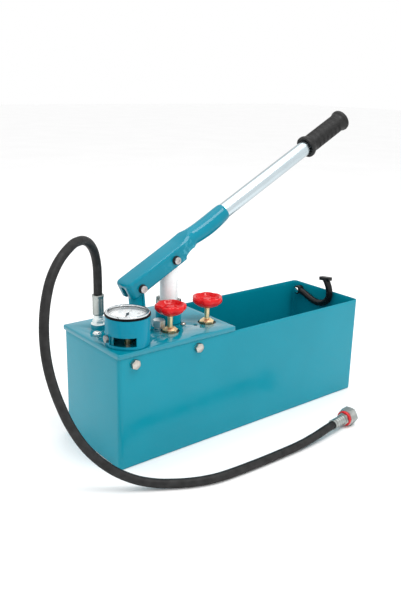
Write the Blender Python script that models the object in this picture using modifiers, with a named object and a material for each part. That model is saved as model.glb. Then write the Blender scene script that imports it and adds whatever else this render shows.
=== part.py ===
"""A hand-lever hydrostatic test pump: an open sheet-steel water tank, a lid with the pump head,
gauge and two valves, a lever on a rocking link, a lever hook and a pressure hose.

Metres, +Z up. The origin is the centre of the tank's underside. +X points along the tank to the
hook's end and -Y out of the front wall. Each object is one piece of the pump.
"""

import math

import bmesh
import bpy
from mathutils import Matrix, Vector

# Clearances
GAP = 0.0003
CUT_OVERRUN = 0.002
WELD_DISTANCE = 0.00001

# Facets round a full turn
SMALL_SIDES = 12
SIDES = 20
LARGE_SIDES = 32

# Tank
TANK_LENGTH = 0.500
TANK_WIDTH = 0.156
TANK_HEIGHT = 0.171
TANK_SHEET = 0.0015
TANK_CORNER_RADIUS = 0.007
TANK_FOOT_RADIUS = 0.0025

# Lid
LID_LENGTH = 0.2125
LID_OVERHANG = 0.0015
LID_SHEET = 0.002
LID_FOLD = 0.007
LID_FOLD_RADIUS = 0.0015
LID_FLANGE_DEPTH = 0.028
LID_FLANGE_START = 0.012
LID_FLANGE_LENGTH = 0.140
LID_FLANGE_BITE = 0.001

# Lid bolts: each pair goes through both long walls, measured from the tank's gauge end
LID_BOLT_LEFT = 0.0255
LID_BOLT_RIGHT = 0.1377
LID_BOLT_PLACES = (LID_BOLT_LEFT, LID_BOLT_RIGHT)
LID_BOLT_DROP = 0.011
LID_BOLT_RADIUS = 0.004
LID_BOLT_FLATS = 0.013
LID_BOLT_HEAD = 0.0053
LID_BOLT_DOME = 0.0012
LID_BOLT_TAIL = 0.003
WELD_NUT_FLATS = 0.013
WELD_NUT_HEIGHT = 0.0065
WELD_BITE = 0.0005

# Lever: its own frame has u along the lever and n square to it, from the pivot bolt
LINK_LENGTH = 0.050
LINK_REST_ANGLE = math.radians(-5.85)
LINK_BASE_PLACE = 0.0840
LINK_BASE_RISE = 0.0169
LEVER_REST_ANGLE = math.radians(27.5)
PISTON_BOLT_U = 0.0698
PISTON_BOLT_N = 0.00265
CHANNEL_WIDTH = 0.036
CHANNEL_SHEET = 0.003
CHANNEL_TAIL = 0.0195
CHANNEL_TOP = 0.018
CHANNEL_BOTTOM = -0.010
CHANNEL_EDGE_RADIUS = 0.004
CHANNEL_TAIL_INSET = 0.0055
CHANNEL_TAIL_DROP = 0.0035
CHANNEL_TAIL_ROUND = 0.008
CHANNEL_TAIL_SHEET = 0.0037
TAIL_SLOT_HALF = 0.0055
TAIL_SLOT_TOP = 0.0115
CHANNEL_STRAIGHT = 0.087
CHANNEL_VOID_END = 0.092
CHANNEL_TAPER_END = 0.120
SOCKET_END = 0.191
SOCKET_RADIUS = 0.0145
LEVER_TUBE_N = 0.008
LEVER_TUBE_RADIUS = 0.0125
LEVER_TUBE_WALL = 0.002
LEVER_TUBE_START = 0.130
GRIP_START = 0.390
GRIP_END = 0.490
GRIP_RADIUS = 0.0155
GRIP_FLANGE_RADIUS = 0.0195
GRIP_FLANGE_LENGTH = 0.007
GRIP_BORE_END = 0.484
GRIP_RIB_DEPTH = 0.0007
GRIP_RIBS = 8
TUBE_END_GAP = 0.001

# Bolts of the lever's two pivots
PIVOT_RADIUS = 0.004
PIVOT_HEAD_RADIUS = 0.0055
PIVOT_HEAD = 0.0058
PIVOT_FLANGE_RADIUS = 0.0068
PIVOT_FLANGE = 0.0013
PIVOT_SOCKET_FLATS = 0.005
PIVOT_SOCKET_DEPTH = 0.003
PIVOT_NUT_FLATS = 0.013
PIVOT_NUT_HEIGHT = 0.0065
PIVOT_TAIL = 0.002

# Rocking link and its bracket
LINK_END_RADIUS = 0.012
LINK_THICKNESS = 0.027
LINK_BAR_THICKNESS = 0.009
LINK_BOSS_RADIUS = 0.0105
LINK_GROOVE_OFFSET = 0.0068
LINK_GROOVE_WIDTH = 0.0016
LINK_GROOVE_DEPTH = 0.0015
LINK_GROOVE_MARGIN = 0.011
BRACKET_SHEET = 0.004
BRACKET_RELIEF = 0.0003
BRACKET_SIDE_GAP = 0.0008
BRACKET_BASE_HALF = 0.0162
BRACKET_EYE_RADIUS = 0.009
BRACKET_EYE_WRAP = math.radians(25)
BRACKET_SCREW_OFFSET = 0.0115
LINK_PIN_RADIUS = 0.004
LINK_PIN_HEAD_RADIUS = 0.006
LINK_PIN_HEAD = 0.002

# Small screws through the lid
SCREW_RADIUS = 0.0025
SCREW_HEAD_RADIUS = 0.0042
SCREW_HEAD = 0.0028
SCREW_REACH = 0.012
BLOCK_SCREW_PLACE = 0.1490
BLOCK_SCREW_Y = -0.0254
DOME_SCREW_PLACE = 0.0163
DOME_SCREW_Y = 0.0075
DOME_SCREW_RADIUS = 0.003
DOME_SCREW_FLATS = 0.011
DOME_SCREW_HEX = 0.004
DOME_RADIUS = 0.0052
DOME_RISE = 0.0045
DOME_SCREW_REACH = 0.014

# Pump
PLUNGER_RADIUS = 0.014
PLUNGER_FOOT_DROP = 0.170
PLUNGER_DOME_DROP = 0.006
PLUNGER_BORE_GAP = 0.0006
EYE_SLOT_REACH_X = -0.0046
EYE_SLOT_REACH_Z = -0.0034
EYE_SLOT_LEAD = 0.0005
EYE_SLOT_SIDE_GAP = 0.0006
HEAD_RADIUS = 0.020
HEAD_HEIGHT = 0.0265
HEAD_SPIGOT_RADIUS = 0.0175
HEAD_SPIGOT_DEPTH = 0.001
SEAL_POCKET_RADIUS = 0.0175
SEAL_POCKET_DEPTH = 0.009
SEAL_HEIGHT = 0.0042
SEAL_LIP_GAP = 0.0002
GLAND_RADIUS = 0.0178
GLAND_HEIGHT = 0.0085
GLAND_SPIGOT = 0.004
GLAND_LUGS = 4
GLAND_LUG_START = math.radians(30)
GLAND_LUG_WIDTH = 0.008
GLAND_LUG_REACH = 0.0020
GLAND_LUG_RISE = 0.0028
CYLINDER_RADIUS = 0.018
CYLINDER_BOTTOM = 0.048
CYLINDER_SEAT_DEPTH = 0.018

# Foot valve and strainer
FOOT_BOTTOM = 0.018
FOOT_NECK_RADIUS = 0.011
FOOT_NECK_TOP = 0.034
FOOT_SPIGOT_TOP = 0.058
FOOT_CHAMBER_RADIUS = 0.008
FOOT_SEAT_BOTTOM = 0.028
FOOT_SEAT_TOP = 0.034
FOOT_PORT_RADIUS = 0.004
FOOT_BAR_WIDTH = 0.003
FOOT_BAR_BOTTOM = 0.0448
FOOT_BAR_BITE = 0.002
SUCTION_BALL_RADIUS = 0.006
STRAINER_BOTTOM = 0.006
STRAINER_RADIUS = 0.0155
STRAINER_WALL = 0.0015
STRAINER_LIP = 0.004
STRAINER_SLOTS = 8
STRAINER_SLOT_WIDTH = 0.004
STRAINER_SLOT_BOTTOM = 0.010
STRAINER_SLOT_TOP = 0.025

# Manifold block under the lid
BLOCK_HEIGHT = 0.028
BLOCK_LEFT_PLACE = 0.0080
BLOCK_RIGHT_PLACE = 0.2050
BLOCK_STEP_PLACE = 0.1640
BLOCK_FRONT_GAP = 0.0097
BLOCK_STEP_Y = -0.010
BLOCK_BACK = 0.044
BLOCK_BOSS_RADIUS = 0.0245
BLOCK_BOSS_DROP = 0.008
BLOCK_UNION_BITE = 0.002
GALLERY_RADIUS = 0.003
GALLERY_DEPTH = 0.022

# Delivery valve under its plug
DELIVERY_PLACE = 0.1108
DELIVERY_Y = -0.0155
DELIVERY_BORE_RADIUS = 0.0065
DELIVERY_BORE_DEPTH = 0.015
DELIVERY_PORT_RADIUS = 0.003
DELIVERY_BALL_RADIUS = 0.0045
DELIVERY_TRAVEL = 0.002
PLUG_FLATS = 0.017
PLUG_HEIGHT = 0.0125
PLUG_CROWN = 0.001
PLUG_REACH = 0.0055
SPRING_RADIUS = 0.0034
SPRING_WIRE_RADIUS = 0.0004
SPRING_TURNS = 4
SPRING_POINTS_A_TURN = 10
SPRING_END_GAP = 0.0004

# Valves
VALVE_Y = -0.0366
TEST_VALVE_PLACE = 0.1166
RELEASE_VALVE_PLACE = 0.1869
VALVE_NAMES = ("test_valve", "release_valve")
VALVE_HOLE_RADIUS = 0.0133
VALVE_GLAND_FLATS = 0.021
VALVE_GLAND_RISE = 0.0026
VALVE_GLAND_CONE = 0.0034
VALVE_GLAND_TOP_RADIUS = 0.0056
VALVE_GLAND_THREAD_RADIUS = 0.008
VALVE_GLAND_REACH = 0.010
VALVE_STEM_RADIUS = 0.0041
VALVE_STEM_REACH = 0.014
VALVE_SEAT_DEPTH = 0.017
VALVE_TIP = 0.003
KNOB_BOTTOM_RISE = 0.0245
KNOB_HEIGHT = 0.021
KNOB_RADIUS = 0.024
KNOB_FOOT_RADIUS = 0.0075
KNOB_WAIST_RADIUS = 0.017
KNOB_WAIST_SHARE = 0.30
KNOB_SHOULDER_SHARE = 0.62
KNOB_RIM_RADIUS = 0.0215
KNOB_DISH_RADIUS = 0.0185
KNOB_DISH_DEPTH = 0.005
KNOB_BOSS_RADIUS = 0.0065
KNOB_LOBES = 6
KNOB_FLUTE_RADIUS = 0.009
KNOB_FLUTE_REACH = 0.0022
KNOB_BORE_DEPTH = 0.012

# Gauge
GAUGE_PLACE = 0.0365
GAUGE_Y = -0.0440
HOUSING_RADIUS = 0.0325
HOUSING_WALL = 0.0022
HOUSING_HEIGHT = 0.040
WINDOW_BOTTOM = 0.0085
WINDOW_TOP = 0.0175
WINDOW_START_ANGLE = math.radians(-170)
WINDOW_END_ANGLE = math.radians(-100)
HOUSING_SCREW_ANGLE = math.radians(-184)
HOUSING_SCREW_RISE = 0.012
HOUSING_SCREW_RADIUS = 0.003
HOUSING_SCREW_FLATS = 0.010
HOUSING_SCREW_HEAD = 0.004
HOUSING_SCREW_REACH = 0.008
TAB_WIDTH = 0.014
TAB_SHEET = 0.003
TAB_HEIGHT = 0.018
TAB_SIDE_GAP = 0.0006
GASKET_HEIGHT = 0.0026
GASKET_RADIUS = 0.0329
GASKET_BORE_RADIUS = 0.0302
CASE_RADIUS = 0.0290
CASE_WALL = 0.0012
CASE_RIM_RADIUS = 0.0313
CASE_RIM_HEIGHT = 0.0014
CASE_DEPTH = 0.024
CASE_HOLE_RADIUS = 0.0053
BEZEL_RADIUS = 0.0315
BEZEL_BORE_RADIUS = 0.0298
BEZEL_LIP_RADIUS = 0.0275
BEZEL_HEIGHT = 0.0040
BEZEL_LIP_HEIGHT = 0.0018
BEZEL_EDGE = 0.0010
GLASS_RADIUS = 0.0294
GLASS_THICKNESS = 0.0016
DIAL_RADIUS = 0.0272
DIAL_THICKNESS = 0.0008
DIAL_DROP = 0.0035
DIAL_HOLE_RADIUS = 0.0018
NEEDLE_LENGTH = 0.0215
NEEDLE_TAIL = 0.007
NEEDLE_WIDTH = 0.0022
NEEDLE_TIP_WIDTH = 0.0005
NEEDLE_THICKNESS = 0.0006
NEEDLE_RISE = 0.0010
NEEDLE_HUB_RADIUS = 0.0028
NEEDLE_HUB_HEIGHT = 0.0016
NEEDLE_SPINDLE_RADIUS = 0.0010
NEEDLE_SPINDLE_REACH = 0.0050
NEEDLE_REST_ANGLE = math.radians(225)
MOVEMENT_LENGTH = 0.022
MOVEMENT_WIDTH = 0.010
MOVEMENT_THICKNESS = 0.0025
MOVEMENT_DROP = 0.0015
MOVEMENT_LEG_RADIUS = 0.002
BOURDON_RADIUS = 0.0200
BOURDON_TUBE_RADIUS = 0.0022
BOURDON_RISE = 0.0065
BOURDON_START_ANGLE = math.radians(-80)
BOURDON_SWEEP = math.radians(250)
BOURDON_POINTS = 22
STEM_RADIUS = 0.0050
STEM_REACH = 0.012
STEM_HEX_FLATS = 0.014
STEM_HEX_BOTTOM = 0.0095
STEM_HEX_HEIGHT = 0.008
STEM_TOP_RISE = 0.0050
STEM_HEAD_RADIUS = 0.0068
STEM_HEAD_HEIGHT = 0.004

# Hook on the end wall
HOOK_PIN_Y = 0.0592
HOOK_PIN_DROP = 0.014
HOOK_RADIUS = 0.0055
HOOK_WALL_GAP = 0.0008
HOOK_HUB_RADIUS = 0.0082
HOOK_HUB_LENGTH = 0.0114
HOOK_PIN_RADIUS = 0.0035
HOOK_PIN_HEAD_RADIUS = 0.0055
HOOK_PIN_HEAD = 0.003
HOOK_PIN_RIVET = 0.002
HOOK_TAB_WIDTH = 0.024
HOOK_TAB_HEIGHT = 0.007
HOOK_TAB_DEPTH = 0.010
HOOK_TAB_ANGLE = math.radians(-6)
HOOK_REACH = 0.075
HOOK_RISE = 0.0365
# The hook's centreline from its pin: (y, z) as shares of its reach and of its rise
HOOK_LINE_SHARES = (
    (-0.04, -0.05),
    (-0.23, -0.21),
    (-0.44, -0.34),
    (-0.63, -0.36),
    (-0.80, -0.30),
    (-0.93, -0.16),
    (-0.99, 0.08),
    (-1.00, 0.36),
    (-0.95, 0.68),
    (-0.85, 1.00),
)

# Hose and its fittings
HOSE_RADIUS = 0.0065
HOSE_STEP = 0.024
HOSE_BEVEL_RESOLUTION = 3
# The hose's centreline, from the pump's fitting to the fitting on the floor, with x from the tank's
# gauge end. Its rise above the floor follows the tank's height.
HOSE_LINE = (
    (0.0325, 0.0302, 0.2326),
    (0.0325, 0.0300, 0.2530),
    (0.0300, 0.0270, 0.2780),
    (0.0205, 0.0175, 0.3010),
    (0.0065, 0.0060, 0.3170),
    (-0.0090, -0.0060, 0.3255),
    (-0.0240, -0.0170, 0.3280),
    (-0.0390, -0.0270, 0.3265),
    (-0.0650, -0.0440, 0.3150),
    (-0.0850, -0.0560, 0.2950),
    (-0.0980, -0.0660, 0.2710),
    (-0.1050, -0.0725, 0.2470),
    (-0.1080, -0.0770, 0.2220),
    (-0.1080, -0.0810, 0.1970),
    (-0.1045, -0.0845, 0.1700),
    (-0.0970, -0.0885, 0.1390),
    (-0.0840, -0.0935, 0.1020),
    (-0.0650, -0.1015, 0.0660),
    (-0.0400, -0.1145, 0.0365),
    (-0.0130, -0.1295, 0.0180),
    (0.0120, -0.1445, 0.0098),
    (0.0360, -0.1585, 0.0074),
    (0.0590, -0.1705, 0.0069),
    (0.0830, -0.1790, 0.0068),
    (0.1080, -0.1835, 0.0068),
    (0.1590, -0.1860, 0.0068),
    (0.2100, -0.1865, 0.0070),
    (0.2550, -0.1865, 0.0082),
    (0.2900, -0.1847, 0.0108),
    (0.3160, -0.1819, 0.0132),
    (0.3363, -0.1790, 0.0139),
)
HOSE_LINE_TANK_HEIGHT = 0.171
HOSE_END_ANGLE = math.radians(8)
BOSS_RADIUS = 0.0088
BOSS_HEIGHT = 0.0065
ADAPTER_THREAD_RADIUS = 0.0062
ADAPTER_REACH = 0.012
ADAPTER_FLATS = 0.019
ADAPTER_HEX = 0.0075
ADAPTER_COLLAR_RADIUS = 0.0078
ADAPTER_COLLAR = 0.0070
NIPPLE_RADIUS = 0.0040
NIPPLE_REACH = 0.015
FERRULE_RADIUS = 0.0080
FERRULE_CRIMP_RADIUS = 0.0076
FERRULE_CRIMPS = 4
FERRULE_CRIMP_MARGIN = 0.004
END_FERRULE_LENGTH = 0.036
SEAL_RING_RADIUS = 0.0125
SEAL_RING_WIDTH = 0.0042
SEAL_RING_START = 0.0325
SWIVEL_FLATS = 0.027
SWIVEL_LENGTH = 0.016
SWIVEL_BORE_RADIUS = 0.0102
SWIVEL_BACK_WALL = 0.003
TAIL_RADIUS = 0.0050
TAIL_COLLAR_RADIUS = 0.0090
TAIL_COLLAR = 0.003
TAIL_END_INSET = 0.008

# Colours
TEAL = (0.010, 0.270, 0.360)
ZINC = (0.55, 0.56, 0.55)
STEEL = (0.42, 0.43, 0.44)
CHROME = (0.78, 0.79, 0.80)
BRASS = (0.66, 0.45, 0.18)
CAST = (0.35, 0.37, 0.37)
WHITE_PLASTIC = (0.86, 0.88, 0.85)
RED_PLASTIC = (0.62, 0.010, 0.016)
BLACK = (0.012, 0.012, 0.012)
DIAL_WHITE = (0.85, 0.86, 0.86)
GLASS = (0.90, 0.95, 0.95)

# Places that follow from the sizes above
LID_BOTTOM = TANK_HEIGHT + GAP
LID_TOP = LID_BOTTOM + LID_FOLD
LID_UNDERSIDE = LID_TOP - LID_SHEET
SEAT_Z = LID_TOP + GAP
BLOCK_TOP = LID_UNDERSIDE - GAP
BLOCK_BOTTOM = BLOCK_TOP - BLOCK_HEIGHT
TANK_END = -TANK_LENGTH / 2
LINK_BASE_X = TANK_END + LINK_BASE_PLACE
BLOCK_SCREW_X = TANK_END + BLOCK_SCREW_PLACE
DOME_SCREW_X = TANK_END + DOME_SCREW_PLACE
BLOCK_LEFT = TANK_END + BLOCK_LEFT_PLACE
BLOCK_RIGHT = TANK_END + BLOCK_RIGHT_PLACE
BLOCK_STEP = TANK_END + BLOCK_STEP_PLACE
DELIVERY_X = TANK_END + DELIVERY_PLACE
TEST_VALVE_X = TANK_END + TEST_VALVE_PLACE
RELEASE_VALVE_X = TANK_END + RELEASE_VALVE_PLACE
GAUGE_X = TANK_END + GAUGE_PLACE
VALVE_XS = (TEST_VALVE_X, RELEASE_VALVE_X)
LID_BOLT_HEIGHT = TANK_HEIGHT - LID_BOLT_DROP
HOOK_PIN_Z = TANK_HEIGHT - HOOK_PIN_DROP
LID_LEFT = TANK_END - LID_OVERHANG
LID_CENTRE_X = LID_LEFT + LID_LENGTH / 2
WALL_INSIDE = TANK_WIDTH / 2 - TANK_SHEET
FLANGE_OUTSIDE = WALL_INSIDE - GAP
FLANGE_INSIDE = FLANGE_OUTSIDE - LID_SHEET
LID_BOLT_TIP = FLANGE_INSIDE - WELD_NUT_HEIGHT - LID_BOLT_TAIL
BLOCK_FRONT = BLOCK_FRONT_GAP - LID_BOLT_TIP
LINK_BASE = Vector((LINK_BASE_X, 0.0, SEAT_Z + LINK_BASE_RISE))
LINK_TIP = Vector((LINK_LENGTH * math.sin(LINK_REST_ANGLE), 0.0, LINK_LENGTH * math.cos(LINK_REST_ANGLE)))
LEVER_PIVOT = LINK_BASE + LINK_TIP
LEVER_TURN = Matrix.Rotation(-LEVER_REST_ANGLE, 3, "Y")
PISTON_PIVOT = LEVER_PIVOT + LEVER_TURN @ Vector((PISTON_BOLT_U, 0.0, PISTON_BOLT_N))
PUMP_X = PISTON_PIVOT.x
HEAD_TOP = SEAT_Z + HEAD_HEIGHT
BORE_RADIUS = PLUNGER_RADIUS + PLUNGER_BORE_GAP
CYLINDER_TOP = BLOCK_BOTTOM + CYLINDER_SEAT_DEPTH
HOUSING_TOP = SEAT_Z + HOUSING_HEIGHT
CASE_RIM_BOTTOM = HOUSING_TOP + GAP + GASKET_HEIGHT + GAP
CASE_BOTTOM = CASE_RIM_BOTTOM + CASE_RIM_HEIGHT - CASE_DEPTH
BEZEL_BOTTOM = CASE_RIM_BOTTOM + CASE_RIM_HEIGHT + GAP
GLASS_TOP = BEZEL_BOTTOM + BEZEL_HEIGHT - BEZEL_LIP_HEIGHT - GAP
GLASS_BOTTOM = GLASS_TOP - GLASS_THICKNESS
DIAL_TOP = GLASS_BOTTOM - DIAL_DROP
BOLT_GRIP = CHANNEL_WIDTH / 2
HOSE_RISE_SHARE = TANK_HEIGHT / HOSE_LINE_TANK_HEIGHT
HOSE_ROUTE = [
    (TANK_END + x, y, HOSE_RADIUS + (z - HOSE_RADIUS) * HOSE_RISE_SHARE) for x, y, z in HOSE_LINE
]

# Turns that lay a piece's own Z along another direction
ALONG_Z = (0.0, 0.0, 0.0)
ALONG_X = (0.0, math.pi / 2, 0.0)
ALONG_MINUS_X = (0.0, -math.pi / 2, 0.0)
ALONG_MINUS_Y = (math.pi / 2, 0.0, 0.0)
ALONG_Y = (-math.pi / 2, 0.0, 0.0)


def clear_scene():
    for obj in list(bpy.data.objects):
        bpy.data.objects.remove(obj, do_unlink=True)


def new_collection(name):
    collection = bpy.data.collections.new(name)
    bpy.context.scene.collection.children.link(collection)
    return collection


def new_material(name, colour, roughness, metallic):
    material = bpy.data.materials.new(name)
    material.use_nodes = True
    shader = material.node_tree.nodes["Principled BSDF"]
    shader.inputs["Base Color"].default_value = (*colour, 1.0)
    shader.inputs["Roughness"].default_value = roughness
    shader.inputs["Metallic"].default_value = metallic
    material.diffuse_color = (*colour, 1.0)
    return material


clear_scene()
PARTS = new_collection("hydrostatic_test_pump")
CUTTERS = new_collection("cutters")

FINISHES = {
    "paint": (TEAL, 0.25, 0.0),
    "zinc": (ZINC, 0.35, 1.0),
    "steel": (STEEL, 0.40, 1.0),
    "chrome": (CHROME, 0.08, 1.0),
    "brass": (BRASS, 0.25, 1.0),
    "cast": (CAST, 0.55, 1.0),
    "white_plastic": (WHITE_PLASTIC, 0.35, 0.0),
    "red_plastic": (RED_PLASTIC, 0.30, 0.0),
    "rubber": (BLACK, 0.60, 0.0),
    "black_paint": (BLACK, 0.35, 0.0),
    "dial": (DIAL_WHITE, 0.50, 0.0),
    "glass": (GLASS, 0.05, 0.0),
}


def add_piece(name, data, finish, location=(0.0, 0.0, 0.0), turn=ALONG_Z):
    """Puts data in the scene as a piece with its own material, or as a cutter when finish is None."""
    obj = bpy.data.objects.new(name, data)
    obj.location = location
    obj.rotation_euler = turn
    if finish is None:
        CUTTERS.objects.link(obj)
        obj.hide_render = True
        obj.display_type = "WIRE"
    else:
        PARTS.objects.link(obj)
        data.materials.clear()
        data.materials.append(new_material(name, *FINISHES[finish]))
    return obj


def mesh_from(bm, name):
    mesh = bpy.data.meshes.new(name)
    bm.to_mesh(mesh)
    bm.free()
    return mesh


def add_box(name, size, centre, finish, turn=ALONG_Z):
    bm = bmesh.new()
    bmesh.ops.create_cube(bm, size=1.0)
    bmesh.ops.scale(bm, vec=size, verts=bm.verts)
    return add_piece(name, mesh_from(bm, name), finish, centre, turn)


def add_box_between(name, low, high, finish):
    low = Vector(low)
    high = Vector(high)
    return add_box(name, high - low, (low + high) / 2, finish)


def add_cylinder(name, radius, length, base, finish, turn=ALONG_Z, sides=SIDES, top_radius=None):
    """A cylinder or cone that stands on base along its own Z."""
    bm = bmesh.new()
    bmesh.ops.create_cone(
        bm,
        cap_ends=True,
        segments=sides,
        radius1=radius,
        radius2=radius if top_radius is None else top_radius,
        depth=length,
    )
    bmesh.ops.translate(bm, vec=(0.0, 0.0, length / 2), verts=bm.verts)
    return add_piece(name, mesh_from(bm, name), finish, base, turn)


def add_hexagon(name, flats, length, base, finish, turn=ALONG_Z):
    return add_cylinder(name, flats / math.sqrt(3), length, base, finish, turn, sides=6)


def add_ball(name, radius, centre, finish):
    bm = bmesh.new()
    bmesh.ops.create_uvsphere(bm, u_segments=SMALL_SIDES, v_segments=SMALL_SIDES // 2, radius=radius)
    return add_piece(name, mesh_from(bm, name), finish, centre)


def add_turned(name, profile, finish, base, turn=ALONG_Z, ring=False, sides=SIDES):
    """Turns a profile of (radius, height) points about its own Z. It runs down the outer side.

    A ring's profile closes on itself, and any other starts and ends on the axis.
    """
    mesh = bpy.data.meshes.new(name)
    count = len(profile)
    edges = [(i, i + 1) for i in range(count - 1)]
    if ring:
        edges.append((count - 1, 0))
    mesh.from_pydata([(radius, 0.0, height) for radius, height in profile], edges, [])
    obj = add_piece(name, mesh, finish, base, turn)
    screw = obj.modifiers.new("Turn", "SCREW")
    screw.steps = sides
    screw.render_steps = sides
    screw.use_merge_vertices = True
    screw.merge_threshold = WELD_DISTANCE
    return obj


def curve_to_mesh(obj):
    """Replaces a curve object by a welded mesh of its name, so that it can be cut and joined."""
    bpy.context.view_layer.update()
    evaluated = obj.evaluated_get(bpy.context.evaluated_depsgraph_get())
    mesh = bpy.data.meshes.new_from_object(evaluated)
    bm = bmesh.new()
    bm.from_mesh(mesh)
    bmesh.ops.remove_doubles(bm, verts=bm.verts, dist=WELD_DISTANCE)
    bm.to_mesh(mesh)
    bm.free()
    name = obj.name
    solid = bpy.data.objects.new(name, mesh)
    solid.matrix_world = obj.matrix_world.copy()
    for collection in obj.users_collection:
        collection.objects.link(solid)
    solid.hide_render = obj.hide_render
    solid.display_type = obj.display_type
    bpy.data.objects.remove(obj, do_unlink=True)
    solid.name = name
    return solid


def add_outline(name, points, thickness, finish, location=(0.0, 0.0, 0.0), turn=ALONG_Z):
    """A flat outline of (x, y) points, counter-clockwise, thickness deep about its own plane."""
    bm = bmesh.new()
    face = bm.faces.new([bm.verts.new((x, y, -thickness / 2)) for x, y in points])
    raised = bmesh.ops.extrude_face_region(bm, geom=[face])["geom"]
    tops = [v for v in raised if isinstance(v, bmesh.types.BMVert)]
    bmesh.ops.translate(bm, vec=(0.0, 0.0, thickness), verts=tops)
    bmesh.ops.recalc_face_normals(bm, faces=bm.faces)
    return add_piece(name, mesh_from(bm, name), finish, location, turn)


def add_rod(name, points, radius, finish, resolution=2, location=(0.0, 0.0, 0.0)):
    """A round rod or tube along points, with filled ends."""
    curve = bpy.data.curves.new(name, "CURVE")
    curve.dimensions = "3D"
    curve.bevel_depth = radius
    curve.bevel_resolution = resolution
    curve.use_fill_caps = True
    spline = curve.splines.new("POLY")
    spline.points.add(len(points) - 1)
    for point, place in zip(spline.points, points):
        point.co = (*place, 1.0)
    return add_piece(name, curve, finish, location)


def boolean(obj, other, operation):
    modifier = obj.modifiers.new(other.name, "BOOLEAN")
    modifier.operation = operation
    modifier.object = other
    modifier.solver = "EXACT"


def cut(obj, cutter):
    boolean(obj, cutter, "DIFFERENCE")


def join(obj, other):
    boolean(obj, other, "UNION")


def bore(obj, radius, base, length, turn=ALONG_Z, sides=SIDES, parent=None):
    """Cuts a round hole that starts at base and runs along the turned Z."""
    number = len(obj.modifiers)
    cutter = add_cylinder(f"{obj.name}_bore_{number}", radius, length, base, None, turn, sides)
    cutter.parent = parent
    cut(obj, cutter)


def arc(centre, radius, start, end, steps):
    """Points (x, y) along an arc, both ends included."""
    turns = [start + (end - start) * i / steps for i in range(steps + 1)]
    return [(centre[0] + radius * math.cos(a), centre[1] + radius * math.sin(a)) for a in turns]


def hex_ring_profile(outer, inner, bottom, top):
    """The closed profile of a plain ring."""
    return [(outer, top), (outer, bottom), (inner, bottom), (inner, top)]


def make_tank():
    """The open box of folded and welded sheet, with holes for the lid bolts and the hook's pin."""
    bm = bmesh.new()
    bmesh.ops.create_cube(bm, size=1.0)
    bmesh.ops.scale(bm, vec=(TANK_LENGTH, TANK_WIDTH, TANK_HEIGHT), verts=bm.verts)
    bmesh.ops.translate(bm, vec=(0.0, 0.0, TANK_HEIGHT / 2), verts=bm.verts)
    top = [f for f in bm.faces if f.normal.z > 0.5]
    bmesh.ops.delete(bm, geom=top, context="FACES_ONLY")
    upright = [e for e in bm.edges if abs(e.verts[0].co.z - e.verts[1].co.z) > TANK_HEIGHT / 2]
    bmesh.ops.bevel(bm, geom=upright, offset=TANK_CORNER_RADIUS, segments=4, profile=0.5, affect="EDGES")
    foot = [e for e in bm.edges if max(v.co.z for v in e.verts) < TANK_HEIGHT / 2]
    bmesh.ops.bevel(bm, geom=foot, offset=TANK_FOOT_RADIUS, segments=2, profile=0.5, affect="EDGES")
    tank = add_piece("tank_shell", mesh_from(bm, "tank_shell"), "paint")
    wall = tank.modifiers.new("Sheet", "SOLIDIFY")
    wall.thickness = TANK_SHEET
    wall.offset = -1.0
    wall.use_even_offset = True
    for place in LID_BOLT_PLACES:
        start = (TANK_END + place, TANK_WIDTH / 2 + CUT_OVERRUN, LID_BOLT_HEIGHT)
        reach = TANK_WIDTH + 2 * CUT_OVERRUN
        bore(tank, LID_BOLT_RADIUS + GAP, start, reach, ALONG_MINUS_Y, SMALL_SIDES)
    pin = (-TANK_END - TANK_SHEET - CUT_OVERRUN, HOOK_PIN_Y, HOOK_PIN_Z)
    bore(tank, HOOK_PIN_RADIUS + GAP, pin, TANK_SHEET + 2 * CUT_OVERRUN, ALONG_X, SMALL_SIDES)


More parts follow.
